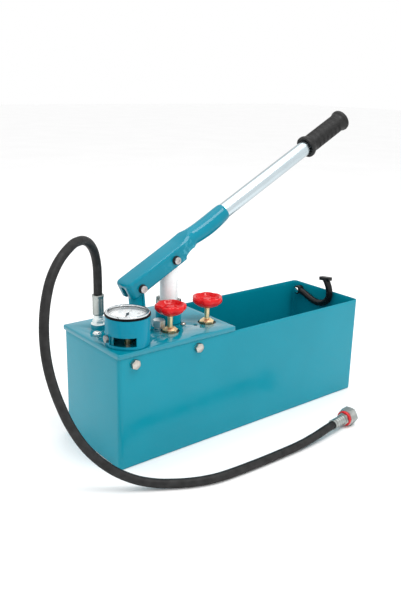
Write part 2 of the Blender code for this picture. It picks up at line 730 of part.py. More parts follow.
def make_lid():
    """A shallow inverted tray with two inner flanges, weld nuts, the hose boss and the gauge's tab."""
    width = TANK_WIDTH + 2 * LID_OVERHANG
    bm = bmesh.new()
    bmesh.ops.create_cube(bm, size=1.0)
    bmesh.ops.scale(bm, vec=(LID_LENGTH, width, LID_FOLD), verts=bm.verts)
    bottom = [f for f in bm.faces if f.normal.z < -0.5]
    bmesh.ops.delete(bm, geom=bottom, context="FACES_ONLY")
    folds = [e for e in bm.edges if len(e.link_faces) == 2]
    bmesh.ops.bevel(bm, geom=folds, offset=LID_FOLD_RADIUS, segments=2, profile=0.5, affect="EDGES")
    centre = (LID_CENTRE_X, 0.0, LID_BOTTOM + LID_FOLD / 2)
    lid = add_piece("lid_plate", mesh_from(bm, "lid_plate"), "paint", centre)
    sheet = lid.modifiers.new("Sheet", "SOLIDIFY")
    sheet.thickness = LID_SHEET
    sheet.offset = -1.0
    sheet.use_even_offset = True

    start = TANK_END + LID_FLANGE_START
    top = LID_UNDERSIDE + LID_FLANGE_BITE
    for side in (-1, 1):
        flange = add_box_between(
            f"lid_flange_{side}",
            (start, min(side * FLANGE_INSIDE, side * FLANGE_OUTSIDE), LID_UNDERSIDE - LID_FLANGE_DEPTH),
            (start + LID_FLANGE_LENGTH, max(side * FLANGE_INSIDE, side * FLANGE_OUTSIDE), top),
            None,
        )
        join(lid, flange)
        for number, place in enumerate(LID_BOLT_PLACES):
            base = (TANK_END + place, side * (FLANGE_INSIDE + WELD_BITE), LID_BOLT_HEIGHT)
            turn = ALONG_MINUS_Y if side > 0 else ALONG_Y
            nut_name = f"weld_nut_{side}_{number}"
            nut = add_hexagon(nut_name, WELD_NUT_FLATS, WELD_NUT_HEIGHT + WELD_BITE, base, None, turn)
            join(lid, nut)
    join(lid, hose_boss())
    join(lid, gauge_tab())

    reach = TANK_WIDTH + 2 * CUT_OVERRUN
    for place in LID_BOLT_PLACES:
        start_point = (TANK_END + place, TANK_WIDTH / 2 + CUT_OVERRUN, LID_BOLT_HEIGHT)
        bore(lid, LID_BOLT_RADIUS + GAP, start_point, reach, ALONG_MINUS_Y, SMALL_SIDES)
    through = LID_SHEET + 2 * CUT_OVERRUN
    below = LID_UNDERSIDE - CUT_OVERRUN
    holes = [
        (PUMP_X, 0.0, HEAD_SPIGOT_RADIUS + GAP, through),
        (DELIVERY_X, DELIVERY_Y, DELIVERY_BORE_RADIUS, through),
        (GAUGE_X, GAUGE_Y, STEM_RADIUS + GAP, through),
        (HOSE_ROUTE[0][0], HOSE_ROUTE[0][1], ADAPTER_THREAD_RADIUS + GAP, through + BOSS_HEIGHT),
        (BLOCK_SCREW_X, BLOCK_SCREW_Y, SCREW_RADIUS + GAP, through),
        (DOME_SCREW_X, DOME_SCREW_Y, DOME_SCREW_RADIUS + GAP, through),
    ]
    holes += [(x, VALVE_Y, VALVE_HOLE_RADIUS, through) for x in VALVE_XS]
    holes += [(x, 0.0, SCREW_RADIUS + GAP, through) for x in bracket_screw_xs()]
    for x, y, radius, length in holes:
        bore(lid, radius, (x, y, below), length)
    tab_screw = housing_screw_start(0.0)
    bore(lid, HOUSING_SCREW_RADIUS + GAP, tab_screw, HOUSING_RADIUS / 2, housing_screw_turn(), SMALL_SIDES)


def hose_boss():
    """The round boss that is welded on the lid under the hose adapter."""
    base = (HOSE_ROUTE[0][0], HOSE_ROUTE[0][1], LID_TOP - WELD_BITE)
    return add_cylinder("hose_boss", BOSS_RADIUS, BOSS_HEIGHT + WELD_BITE, base, None)


def housing_screw_start(inset):
    """A point on the axis of the gauge housing's screw, near the gauge's own axis."""
    radius = HOUSING_RADIUS / 2 + inset
    x = GAUGE_X + radius * math.cos(HOUSING_SCREW_ANGLE)
    y = GAUGE_Y + radius * math.sin(HOUSING_SCREW_ANGLE)
    return (x, y, SEAT_Z + HOUSING_SCREW_RISE)


def housing_screw_turn():
    """Lays a piece's Z outward along the housing screw's axis."""
    return (0.0, math.pi / 2, HOUSING_SCREW_ANGLE)


def gauge_tab():
    """The tab inside the gauge housing that its screw goes into."""
    radius = HOUSING_RADIUS - HOUSING_WALL - TAB_SIDE_GAP - TAB_SHEET - tab_sagitta()
    x = GAUGE_X + (radius + TAB_SHEET / 2) * math.cos(HOUSING_SCREW_ANGLE)
    y = GAUGE_Y + (radius + TAB_SHEET / 2) * math.sin(HOUSING_SCREW_ANGLE)
    height = TAB_HEIGHT + WELD_BITE
    centre = (x, y, LID_TOP - WELD_BITE + height / 2)
    turn = (0.0, 0.0, HOUSING_SCREW_ANGLE)
    return add_box("gauge_tab", (TAB_SHEET, TAB_WIDTH, height), centre, None, turn)


def tab_sagitta():
    """How far the housing's round wall comes in over half the tab's width."""
    inside = HOUSING_RADIUS - HOUSING_WALL
    return inside - math.sqrt(inside**2 - (TAB_WIDTH / 2) ** 2)


def bracket_screw_xs():
    return (LINK_BASE_X - BRACKET_SCREW_OFFSET, LINK_BASE_X + BRACKET_SCREW_OFFSET)


def make_lid_bolts():
    """Four hexagon bolts through the tank's long walls into the lid's weld nuts."""
    inner_end = LID_BOLT_TIP
    for side, wall in ((-1, "front"), (1, "back")):
        for place, end in zip(LID_BOLT_PLACES, ("left", "right")):
            name = f"lid_bolt_{wall}_{end}"
            base = (TANK_END + place, side * (TANK_WIDTH / 2 + GAP), LID_BOLT_HEIGHT)
            turn = ALONG_MINUS_Y if side < 0 else ALONG_Y
            bolt = add_hexagon(name, LID_BOLT_FLATS, LID_BOLT_HEAD, base, "zinc", turn)
            dome = [
                (0.0, LID_BOLT_HEAD + LID_BOLT_DOME),
                (LID_BOLT_FLATS / 4, LID_BOLT_HEAD + LID_BOLT_DOME / 2),
                (LID_BOLT_FLATS / 2, LID_BOLT_HEAD - WELD_BITE),
                (0.0, LID_BOLT_HEAD - 2 * WELD_BITE),
            ]
            join(bolt, add_turned(f"{name}_dome", dome, None, base, turn, sides=SMALL_SIDES))
            length = TANK_WIDTH / 2 + GAP - inner_end
            tip = (base[0], side * inner_end, base[2])
            shank_length = length + WELD_BITE
            shank_name = f"{name}_shank"
            shank = add_cylinder(shank_name, LID_BOLT_RADIUS, shank_length, tip, None, turn, SMALL_SIDES)
            join(bolt, shank)


def add_lid_screw(name, x, y):
    """A small pan-head screw that stands on the lid or on a sheet of the given top."""
    return add_screw(name, (x, y, SEAT_Z))


def add_screw(name, seat):
    head = [
        (0.0, SCREW_HEAD),
        (SCREW_HEAD_RADIUS * 0.6, SCREW_HEAD),
        (SCREW_HEAD_RADIUS, SCREW_HEAD * 0.45),
        (SCREW_HEAD_RADIUS, 0.0),
        (SCREW_RADIUS, 0.0),
        (SCREW_RADIUS, -SCREW_REACH),
        (0.0, -SCREW_REACH),
    ]
    return add_turned(name, head, "zinc", seat, sides=SMALL_SIDES)


def make_lid_screws():
    add_lid_screw("block_screw", BLOCK_SCREW_X, BLOCK_SCREW_Y)
    seat = (DOME_SCREW_X, DOME_SCREW_Y, SEAT_Z)
    screw = add_hexagon("block_dome_screw", DOME_SCREW_FLATS, DOME_SCREW_HEX, seat, "zinc")
    steps = 5
    dome = [(0.0, DOME_SCREW_HEX + DOME_RISE)]
    for i in range(1, steps + 1):
        angle = math.pi / 2 * i / steps
        dome.append((DOME_RADIUS * math.sin(angle), DOME_SCREW_HEX + DOME_RISE * math.cos(angle)))
    dome += [(DOME_RADIUS, DOME_SCREW_HEX - WELD_BITE), (0.0, DOME_SCREW_HEX - WELD_BITE)]
    join(screw, add_turned("dome", dome, None, seat, sides=SMALL_SIDES))
    tip = (seat[0], seat[1], seat[2] - DOME_SCREW_REACH)
    length = DOME_SCREW_REACH + WELD_BITE
    join(screw, add_cylinder("dome_shank", DOME_SCREW_RADIUS, length, tip, None, sides=SMALL_SIDES))


def make_manifold():
    """The cast block under the lid that carries the pump, the valves, the gauge and the hose port."""
    low_front = (BLOCK_LEFT, BLOCK_FRONT, BLOCK_BOTTOM)
    high_front = (BLOCK_RIGHT, BLOCK_STEP_Y, BLOCK_TOP)
    block = add_box_between("manifold_block", low_front, high_front, "cast")
    low_back = (BLOCK_LEFT + GAP, BLOCK_STEP_Y - BLOCK_UNION_BITE, BLOCK_BOTTOM + GAP)
    high_back = (BLOCK_STEP, BLOCK_BACK, BLOCK_TOP - GAP)
    join(block, add_box_between("manifold_back", low_back, high_back, None))
    boss_base = (PUMP_X, 0.0, BLOCK_BOTTOM - BLOCK_BOSS_DROP)
    boss_length = BLOCK_HEIGHT / 2 + BLOCK_BOSS_DROP
    join(block, add_cylinder("pump_boss", BLOCK_BOSS_RADIUS, boss_length, boss_base, None))

    over = BLOCK_TOP + CUT_OVERRUN
    below = BLOCK_BOTTOM - BLOCK_BOSS_DROP - CUT_OVERRUN
    gallery_z = BLOCK_TOP - GALLERY_DEPTH
    hose_x, hose_y = HOSE_ROUTE[0][0], HOSE_ROUTE[0][1]
    bore(block, BORE_RADIUS, (PUMP_X, 0.0, below), over - below)
    bore(block, CYLINDER_RADIUS + GAP, (PUMP_X, 0.0, below), CYLINDER_TOP + GAP - below)
    pocket(block, GAUGE_X, GAUGE_Y, STEM_RADIUS + GAP, gallery_z - GALLERY_RADIUS / 2, over)
    pocket(block, hose_x, hose_y, ADAPTER_THREAD_RADIUS + GAP, gallery_z - GALLERY_RADIUS / 2, over)
    delivery_bottom = BLOCK_TOP - DELIVERY_BORE_DEPTH
    pocket(block, DELIVERY_X, DELIVERY_Y, DELIVERY_BORE_RADIUS, delivery_bottom, over)
    pocket(block, DELIVERY_X, DELIVERY_Y, DELIVERY_PORT_RADIUS, gallery_z, over)
    for x in VALVE_XS:
        pocket(block, x, VALVE_Y, VALVE_GLAND_THREAD_RADIUS + GAP, BLOCK_TOP - VALVE_SEAT_DEPTH, over)
        pocket(block, x, VALVE_Y, GALLERY_RADIUS, BLOCK_BOTTOM - CUT_OVERRUN, over)
    for x, y, radius, reach in (
        (BLOCK_SCREW_X, BLOCK_SCREW_Y, SCREW_RADIUS, SCREW_REACH),
        (DOME_SCREW_X, DOME_SCREW_Y, DOME_SCREW_RADIUS, DOME_SCREW_REACH),
        (bracket_screw_xs()[0], 0.0, SCREW_RADIUS, SCREW_REACH),
        (bracket_screw_xs()[1], 0.0, SCREW_RADIUS, SCREW_REACH),
    ):
        pocket(block, x, y, radius + GAP, BLOCK_TOP - reach, over)
    start = (GAUGE_X, VALVE_Y, gallery_z)
    bore(block, GALLERY_RADIUS, start, VALVE_XS[-1] - GAUGE_X, ALONG_X, SMALL_SIDES)
    start = (hose_x, hose_y, gallery_z)
    bore(block, GALLERY_RADIUS, start, hose_y - GAUGE_Y, ALONG_MINUS_Y, SMALL_SIDES)


def pocket(obj, x, y, radius, bottom, top):
    bore(obj, radius, (x, y, bottom), top - bottom, sides=SMALL_SIDES)


def make_pump():
    """The head, gland nut and seal above the lid, and the cylinder below it."""
    spigot_bottom = LID_UNDERSIDE + HEAD_SPIGOT_DEPTH
    seat = (PUMP_X, 0.0, 0.0)
    pocket_bottom = HEAD_TOP - SEAL_POCKET_DEPTH
    head = [
        (HEAD_RADIUS, HEAD_TOP),
        (HEAD_RADIUS, SEAT_Z),
        (HEAD_SPIGOT_RADIUS, SEAT_Z),
        (HEAD_SPIGOT_RADIUS, spigot_bottom),
        (BORE_RADIUS, spigot_bottom),
        (BORE_RADIUS, pocket_bottom),
        (SEAL_POCKET_RADIUS, pocket_bottom),
        (SEAL_POCKET_RADIUS, HEAD_TOP),
    ]
    add_turned("pump_head", head, "paint", seat, ring=True, sides=LARGE_SIDES)
    seal_top = pocket_bottom + GAP + SEAL_HEIGHT
    seal = hex_ring_profile(
        SEAL_POCKET_RADIUS - GAP, PLUNGER_RADIUS + SEAL_LIP_GAP, pocket_bottom + GAP, seal_top
    )
    add_turned("plunger_seal", seal, "rubber", seat, ring=True)

    gland_bottom = HEAD_TOP + GAP
    gland_top = gland_bottom + GLAND_HEIGHT
    gland = [
        (GLAND_RADIUS, gland_top),
        (GLAND_RADIUS, gland_bottom),
        (SEAL_POCKET_RADIUS - GAP, gland_bottom),
        (SEAL_POCKET_RADIUS - GAP, HEAD_TOP - GLAND_SPIGOT),
        (BORE_RADIUS, HEAD_TOP - GLAND_SPIGOT),
        (BORE_RADIUS, gland_top),
    ]
    nut = add_turned("gland_nut", gland, "zinc", seat, ring=True)
    for i in range(GLAND_LUGS):
        angle = GLAND_LUG_START + 2 * math.pi * i / GLAND_LUGS
        inner = (BORE_RADIUS + GLAND_RADIUS) / 2
        outer = GLAND_RADIUS + GLAND_LUG_REACH
        middle = (inner + outer) / 2
        bottom = gland_bottom + GAP
        top = gland_top + GLAND_LUG_RISE
        centre = (PUMP_X + middle * math.cos(angle), middle * math.sin(angle), (bottom + top) / 2)
        size = (outer - inner, GLAND_LUG_WIDTH, top - bottom)
        join(nut, add_box(f"gland_lug_{i}", size, centre, None, (0.0, 0.0, angle)))

    cylinder = hex_ring_profile(CYLINDER_RADIUS, BORE_RADIUS, CYLINDER_BOTTOM, CYLINDER_TOP)
    add_turned("pump_cylinder", cylinder, "brass", seat, ring=True)


def make_plunger():
    """The white piston rod: a round bar with a domed top and the slanting eye for its bolt."""
    top_centre = PISTON_PIVOT.z - PLUNGER_DOME_DROP
    bottom = PISTON_PIVOT.z - PLUNGER_FOOT_DROP
    height = top_centre + PLUNGER_RADIUS + CUT_OVERRUN - bottom
    plunger = add_cylinder("plunger", PLUNGER_RADIUS, height, (PUMP_X, 0.0, bottom), "white_plastic")
    dome = arc((0.0, 0.0), PLUNGER_RADIUS, 0.0, math.pi, SMALL_SIDES)
    side = PLUNGER_RADIUS + CUT_OVERRUN
    lid = PLUNGER_RADIUS + 2 * CUT_OVERRUN
    outline = dome + [(-side, 0.0), (-side, lid), (side, lid), (side, 0.0)]
    place = (PUMP_X, 0.0, top_centre)
    cut(plunger, add_outline("plunger_dome", outline, 2 * side, None, place, ALONG_MINUS_Y))

    reach = math.hypot(EYE_SLOT_REACH_X, EYE_SLOT_REACH_Z)
    along = math.atan2(EYE_SLOT_REACH_Z, EYE_SLOT_REACH_X)
    radius = PIVOT_RADIUS + EYE_SLOT_SIDE_GAP
    quarter = math.pi / 2
    far = (reach * math.cos(along), reach * math.sin(along))
    near = (-EYE_SLOT_LEAD * math.cos(along), -EYE_SLOT_LEAD * math.sin(along))
    slot = arc(far, radius, along - quarter, along + quarter, SMALL_SIDES // 2)
    slot += arc(near, radius, along + quarter, along + 3 * quarter, SMALL_SIDES // 2)
    pivot = (PUMP_X, 0.0, PISTON_PIVOT.z)
    cut(plunger, add_outline("plunger_eye", slot, 2 * side, None, pivot, ALONG_MINUS_Y))


def make_foot_valve():
    """The suction valve that closes the cylinder's foot, its ball and its strainer."""
    seat = (PUMP_X, 0.0, 0.0)
    spigot_radius = BORE_RADIUS - GAP
    flange_top = CYLINDER_BOTTOM - GAP
    body = [
        (spigot_radius, FOOT_SPIGOT_TOP),
        (spigot_radius, flange_top),
        (CYLINDER_RADIUS, flange_top),
        (CYLINDER_RADIUS, FOOT_NECK_TOP),
        (FOOT_NECK_RADIUS, FOOT_NECK_TOP),
        (FOOT_NECK_RADIUS, FOOT_BOTTOM),
        (FOOT_PORT_RADIUS, FOOT_BOTTOM),
        (FOOT_PORT_RADIUS, FOOT_SEAT_BOTTOM),
        (FOOT_CHAMBER_RADIUS, FOOT_SEAT_TOP),
        (FOOT_CHAMBER_RADIUS, FOOT_SPIGOT_TOP),
    ]
    foot = add_turned("foot_valve_body", body, "brass", seat, ring=True)
    length = 2 * (FOOT_CHAMBER_RADIUS + FOOT_BAR_BITE)
    centre = (PUMP_X, 0.0, FOOT_BAR_BOTTOM + FOOT_BAR_WIDTH / 2)
    join(foot, add_box("ball_bar", (length, FOOT_BAR_WIDTH, FOOT_BAR_WIDTH), centre, None))

    add_ball("suction_ball", SUCTION_BALL_RADIUS, (PUMP_X, 0.0, suction_ball_height()), "steel")

    inside = STRAINER_RADIUS - STRAINER_WALL
    floor = STRAINER_BOTTOM + STRAINER_WALL
    lip_top = FOOT_NECK_TOP - GAP
    neck = FOOT_NECK_RADIUS + GAP
    cup = [
        (STRAINER_RADIUS, lip_top),
        (STRAINER_RADIUS, STRAINER_BOTTOM),
        (0.0, STRAINER_BOTTOM),
    ]
    bowl = [
        (0.0, floor),
        (inside, floor),
        (inside, lip_top - STRAINER_LIP),
        (neck, lip_top - STRAINER_LIP),
        (neck, lip_top),
    ]
    ring = add_turned("suction_strainer", [(0.0, lip_top), *cup], "brass", seat)
    hollow = [(0.0, lip_top + CUT_OVERRUN), (neck, lip_top + CUT_OVERRUN), *reversed(bowl[1:-1]), (0.0, floor)]
    cut(ring, add_turned("strainer_hollow", hollow, None, seat))
    slot_height = STRAINER_SLOT_TOP - STRAINER_SLOT_BOTTOM
    for i in range(STRAINER_SLOTS // 2):
        size = (2 * (STRAINER_RADIUS + CUT_OVERRUN), STRAINER_SLOT_WIDTH, slot_height)
        slot_centre = (PUMP_X, 0.0, (STRAINER_SLOT_TOP + STRAINER_SLOT_BOTTOM) / 2)
        turn = (0.0, 0.0, 2 * math.pi * i / STRAINER_SLOTS)
        cut(ring, add_box(f"strainer_slot_{i}", size, slot_centre, None, turn))


def suction_ball_height():
    """The ball's centre when it lies on the seat's cone."""
    slope = math.atan2(FOOT_CHAMBER_RADIUS - FOOT_PORT_RADIUS, FOOT_SEAT_TOP - FOOT_SEAT_BOTTOM)
    apex = FOOT_SEAT_BOTTOM - FOOT_PORT_RADIUS / math.tan(slope)
    return apex + (SUCTION_BALL_RADIUS + GAP) / math.sin(slope)


def make_delivery_valve():
    """The ball and spring in the block, under a hexagon plug on the lid."""
    bottom = BLOCK_TOP - DELIVERY_BORE_DEPTH
    drop = math.sqrt((DELIVERY_BALL_RADIUS + GAP) ** 2 - DELIVERY_PORT_RADIUS**2)
    ball_z = bottom + drop
    add_ball("delivery_ball", DELIVERY_BALL_RADIUS, (DELIVERY_X, DELIVERY_Y, ball_z), "steel")
    place = (DELIVERY_X, DELIVERY_Y, SEAT_Z)
    plug = add_hexagon("delivery_plug", PLUG_FLATS, PLUG_HEIGHT, place, "zinc")
    crown = [
        (0.0, PLUG_HEIGHT + PLUG_CROWN),
        (PLUG_FLATS / 2 - PLUG_CROWN, PLUG_HEIGHT + PLUG_CROWN),
        (PLUG_FLATS / 2, PLUG_HEIGHT - WELD_BITE),
        (0.0, PLUG_HEIGHT - WELD_BITE),
    ]
    join(plug, add_turned("plug_crown", crown, None, place, sides=SMALL_SIDES))
    tip = (DELIVERY_X, DELIVERY_Y, SEAT_Z - PLUG_REACH)
    radius = DELIVERY_BORE_RADIUS - GAP
    join(plug, add_cylinder("plug_thread", radius, PLUG_REACH + WELD_BITE, tip, None, sides=SMALL_SIDES))

    low = ball_z + DELIVERY_BALL_RADIUS * spring_seat_share() + SPRING_WIRE_RADIUS + SPRING_END_GAP
    high = SEAT_Z - PLUG_REACH - SPRING_WIRE_RADIUS - SPRING_END_GAP
    count = SPRING_TURNS * SPRING_POINTS_A_TURN
    coil = []
    for i in range(count + 1):
        angle = 2 * math.pi * i / SPRING_POINTS_A_TURN
        height = low + (high - low) * i / count
        coil.append((SPRING_RADIUS * math.cos(angle), SPRING_RADIUS * math.sin(angle), height))
    add_rod("delivery_spring", coil, SPRING_WIRE_RADIUS, "steel", 0, (DELIVERY_X, DELIVERY_Y, 0.0))


def spring_seat_share():
    """The height on the ball, as a share of its radius, that the spring's coil rests on."""
    return math.sqrt(1 - (SPRING_RADIUS / DELIVERY_BALL_RADIUS) ** 2)


def make_valve(name, x):
    """A brass gland in the lid, its spindle, and the dished red knob on top."""
    seat = (x, VALVE_Y, SEAT_Z)
    gland_name = f"{name}_gland"
    hex_bottom = BLOCK_TOP + GAP
    hex_length = SEAT_Z + VALVE_GLAND_RISE - hex_bottom
    gland = add_hexagon(gland_name, VALVE_GLAND_FLATS, hex_length, (x, VALVE_Y, hex_bottom), "brass")
    cone_base = (x, VALVE_Y, SEAT_Z + VALVE_GLAND_RISE - WELD_BITE)
    cone_length = VALVE_GLAND_CONE + WELD_BITE
    cone = add_cylinder(
        f"{gland_name}_cone",
        VALVE_GLAND_FLATS / 2,
        cone_length,
        cone_base,
        None,
        top_radius=VALVE_GLAND_TOP_RADIUS,
    )
    join(gland, cone)
    thread_base = (x, VALVE_Y, BLOCK_TOP - VALVE_GLAND_REACH)
    thread_length = VALVE_GLAND_REACH + 2 * GAP
    thread = add_cylinder(f"{gland_name}_thread", VALVE_GLAND_THREAD_RADIUS, thread_length, thread_base, None)
    join(gland, thread)
    low = thread_base[2] - CUT_OVERRUN
    bore(gland, VALVE_STEM_RADIUS + GAP, (x, VALVE_Y, low), cone_base[2] + cone_length + CUT_OVERRUN - low)

    knob_bottom = SEAT_Z + KNOB_BOTTOM_RISE
    top = knob_bottom + KNOB_BORE_DEPTH - GAP
    bottom = BLOCK_TOP - VALVE_STEM_REACH
    stem = [
        (0.0, top),
        (VALVE_STEM_RADIUS, top),
        (VALVE_STEM_RADIUS, bottom + VALVE_TIP),
        (0.0, bottom),
    ]
    add_turned(f"{name}_stem", stem, "brass", (x, VALVE_Y, 0.0), sides=SMALL_SIDES)
    make_knob(f"{name}_knob", (seat[0], seat[1], knob_bottom))


def make_knob(name, base):
    """A dished hand knob with flutes between its lobes."""
    profile = [
        (0.0, KNOB_HEIGHT - KNOB_DISH_DEPTH / 2),
        (KNOB_BOSS_RADIUS, KNOB_HEIGHT - KNOB_DISH_DEPTH / 2),
        (KNOB_BOSS_RADIUS, KNOB_HEIGHT - KNOB_DISH_DEPTH),
        (KNOB_DISH_RADIUS - KNOB_DISH_DEPTH / 2, KNOB_HEIGHT - KNOB_DISH_DEPTH),
        (KNOB_DISH_RADIUS, KNOB_HEIGHT),
        (KNOB_RIM_RADIUS, KNOB_HEIGHT),
        (KNOB_RADIUS, KNOB_HEIGHT * (1 + KNOB_SHOULDER_SHARE) / 2),
        (KNOB_RADIUS, KNOB_HEIGHT * KNOB_SHOULDER_SHARE),
        (KNOB_WAIST_RADIUS, KNOB_HEIGHT * KNOB_WAIST_SHARE),
        (KNOB_FOOT_RADIUS, 0.0),
        (0.0, 0.0),
    ]
    knob = add_turned(name, profile, "red_plastic", base, sides=LARGE_SIDES)
    for i in range(KNOB_LOBES):
        angle = 2 * math.pi * (i + 0.5) / KNOB_LOBES
        distance = KNOB_RADIUS + KNOB_FLUTE_RADIUS - KNOB_FLUTE_REACH
        x = base[0] + distance * math.cos(angle)
        y = base[1] + distance * math.sin(angle)
        start = (x, y, base[2] - CUT_OVERRUN)
        bore(knob, KNOB_FLUTE_RADIUS, start, KNOB_HEIGHT + 2 * CUT_OVERRUN, sides=SMALL_SIDES)
    start = (base[0], base[1], base[2] - CUT_OVERRUN)
    bore(knob, VALVE_STEM_RADIUS + GAP, start, KNOB_BORE_DEPTH + CUT_OVERRUN, sides=SMALL_SIDES)


def make_gauge():
    """The pressure gauge in its painted housing: case, works, dial, needle, glass and bezel."""
    seat = (GAUGE_X, GAUGE_Y, 0.0)
    inside = HOUSING_RADIUS - HOUSING_WALL
    wall = hex_ring_profile(HOUSING_RADIUS, inside, SEAT_Z, HOUSING_TOP)
    housing = add_turned("gauge_housing", wall, "paint", seat, ring=True, sides=LARGE_SIDES)
    window = [(0.0, 0.0)]
    window += arc((0.0, 0.0), HOUSING_RADIUS + CUT_OVERRUN, WINDOW_START_ANGLE, WINDOW_END_ANGLE, SMALL_SIDES)
    middle = (GAUGE_X, GAUGE_Y, SEAT_Z + (WINDOW_BOTTOM + WINDOW_TOP) / 2)
    cut(housing, add_outline("window", window, WINDOW_TOP - WINDOW_BOTTOM, None, middle))
    screw_start = housing_screw_start(0.0)
    turn = housing_screw_turn()
    bore(housing, HOUSING_SCREW_RADIUS + GAP, screw_start, HOUSING_RADIUS, turn, SMALL_SIDES)

    gasket_bottom = HOUSING_TOP + GAP
    gasket = hex_ring_profile(
        GASKET_RADIUS, GASKET_BORE_RADIUS, gasket_bottom, gasket_bottom + GASKET_HEIGHT
    )
    add_turned("gauge_gasket", gasket, "rubber", seat, ring=True, sides=LARGE_SIDES)

    rim_top = CASE_RIM_BOTTOM + CASE_RIM_HEIGHT
    cup = CASE_RADIUS - CASE_WALL
    case = [
        (CASE_RIM_RADIUS, rim_top),
        (CASE_RIM_RADIUS, CASE_RIM_BOTTOM),
        (CASE_RADIUS, CASE_RIM_BOTTOM),
        (CASE_RADIUS, CASE_BOTTOM),
        (CASE_HOLE_RADIUS, CASE_BOTTOM),
        (CASE_HOLE_RADIUS, CASE_BOTTOM + CASE_WALL),
        (cup, CASE_BOTTOM + CASE_WALL),
        (cup, rim_top),
    ]
    add_turned("gauge_case", case, "steel", seat, ring=True, sides=LARGE_SIDES)

    bezel_top = BEZEL_BOTTOM + BEZEL_HEIGHT
    bezel = [
        (BEZEL_RADIUS - BEZEL_EDGE, bezel_top),
        (BEZEL_RADIUS, bezel_top - BEZEL_EDGE),
        (BEZEL_RADIUS, BEZEL_BOTTOM),
        (BEZEL_BORE_RADIUS, BEZEL_BOTTOM),
        (BEZEL_BORE_RADIUS, bezel_top - BEZEL_LIP_HEIGHT),
        (BEZEL_LIP_RADIUS, bezel_top - BEZEL_LIP_HEIGHT),
        (BEZEL_LIP_RADIUS, bezel_top - BEZEL_LIP_HEIGHT / 2),
        (BEZEL_BORE_RADIUS, bezel_top),
    ]
    add_turned("gauge_bezel", bezel, "chrome", seat, ring=True, sides=LARGE_SIDES)

    glass_base = (GAUGE_X, GAUGE_Y, GLASS_BOTTOM)
    add_cylinder("gauge_glass", GLASS_RADIUS, GLASS_THICKNESS, glass_base, "glass", sides=LARGE_SIDES)
    dial = hex_ring_profile(DIAL_RADIUS, DIAL_HOLE_RADIUS, DIAL_TOP - DIAL_THICKNESS, DIAL_TOP)
    add_turned("gauge_dial", dial, "dial", seat, ring=True, sides=LARGE_SIDES)
    make_needle()
    make_gauge_works()
    make_gauge_stem()
    make_housing_screw()


def make_needle():
    """The needle turns with its spindle, which reaches down into the works."""
    base = (GAUGE_X, GAUGE_Y, DIAL_TOP + NEEDLE_RISE)
    half = NEEDLE_WIDTH / 2
    tip = NEEDLE_TIP_WIDTH / 2
    outline = [(-NEEDLE_TAIL, -half), (0.0, -half), (NEEDLE_LENGTH, -tip), (NEEDLE_LENGTH, tip)]
    outline += [(0.0, half), (-NEEDLE_TAIL, half)]
    turn = (0.0, 0.0, NEEDLE_REST_ANGLE)
    middle = (base[0], base[1], base[2] + NEEDLE_THICKNESS / 2)
    needle = add_outline("gauge_needle", outline, NEEDLE_THICKNESS, "black_paint", middle, turn)
    hub = [
        (0.0, NEEDLE_HUB_HEIGHT),
        (NEEDLE_HUB_RADIUS, NEEDLE_HUB_HEIGHT),
        (NEEDLE_HUB_RADIUS, -NEEDLE_RISE / 4),
        (NEEDLE_SPINDLE_RADIUS, -NEEDLE_RISE / 4),
        (NEEDLE_SPINDLE_RADIUS, -NEEDLE_SPINDLE_REACH),
        (0.0, -NEEDLE_SPINDLE_REACH),
    ]
    join(needle, add_turned("needle_hub", hub, None, base, sides=SMALL_SIDES))


def make_gauge_works():
    """The bent pressure tube and the small movement plate on the stem's head."""
    floor = CASE_BOTTOM + CASE_WALL
    points = []
    for i in range(BOURDON_POINTS):
        angle = BOURDON_START_ANGLE + BOURDON_SWEEP * i / (BOURDON_POINTS - 1)
        height = floor + BOURDON_RISE
        points.append((BOURDON_RADIUS * math.cos(angle), BOURDON_RADIUS * math.sin(angle), height))
    start = Vector(points[0])
    inward = start - Vector((start.x, start.y, 0.0)).normalized() * (BOURDON_RADIUS - STEM_HEAD_RADIUS - GAP)
    bend = start.lerp(inward, 0.25)
    points[0] = tuple(bend)
    points.insert(0, tuple(inward))
    place = (GAUGE_X, GAUGE_Y, 0.0)
    add_rod("bourdon_tube", points, BOURDON_TUBE_RADIUS, "brass", 1, place)

    top = DIAL_TOP - DIAL_THICKNESS - MOVEMENT_DROP
    plate_centre = (GAUGE_X, GAUGE_Y, top - MOVEMENT_THICKNESS / 2)
    plate_size = (MOVEMENT_LENGTH, MOVEMENT_WIDTH, MOVEMENT_THICKNESS)
    plate = add_box("gauge_movement", plate_size, plate_centre, "brass")
    leg_bottom = floor + STEM_TOP_RISE + GAP
    leg_length = top - MOVEMENT_THICKNESS / 2 - leg_bottom
    for side in (-1, 1):
        leg_x = GAUGE_X + side * (STEM_HEAD_RADIUS - MOVEMENT_LEG_RADIUS - GAP)
        leg_base = (leg_x, GAUGE_Y, leg_bottom)
        leg_name = f"movement_leg_{side}"
        leg = add_cylinder(leg_name, MOVEMENT_LEG_RADIUS, leg_length, leg_base, None, sides=SMALL_SIDES)
        join(plate, leg)
    hole = (GAUGE_X, GAUGE_Y, top - MOVEMENT_THICKNESS - CUT_OVERRUN)
    bore(plate, NEEDLE_SPINDLE_RADIUS + GAP, hole, MOVEMENT_THICKNESS + 2 * CUT_OVERRUN, sides=SMALL_SIDES)


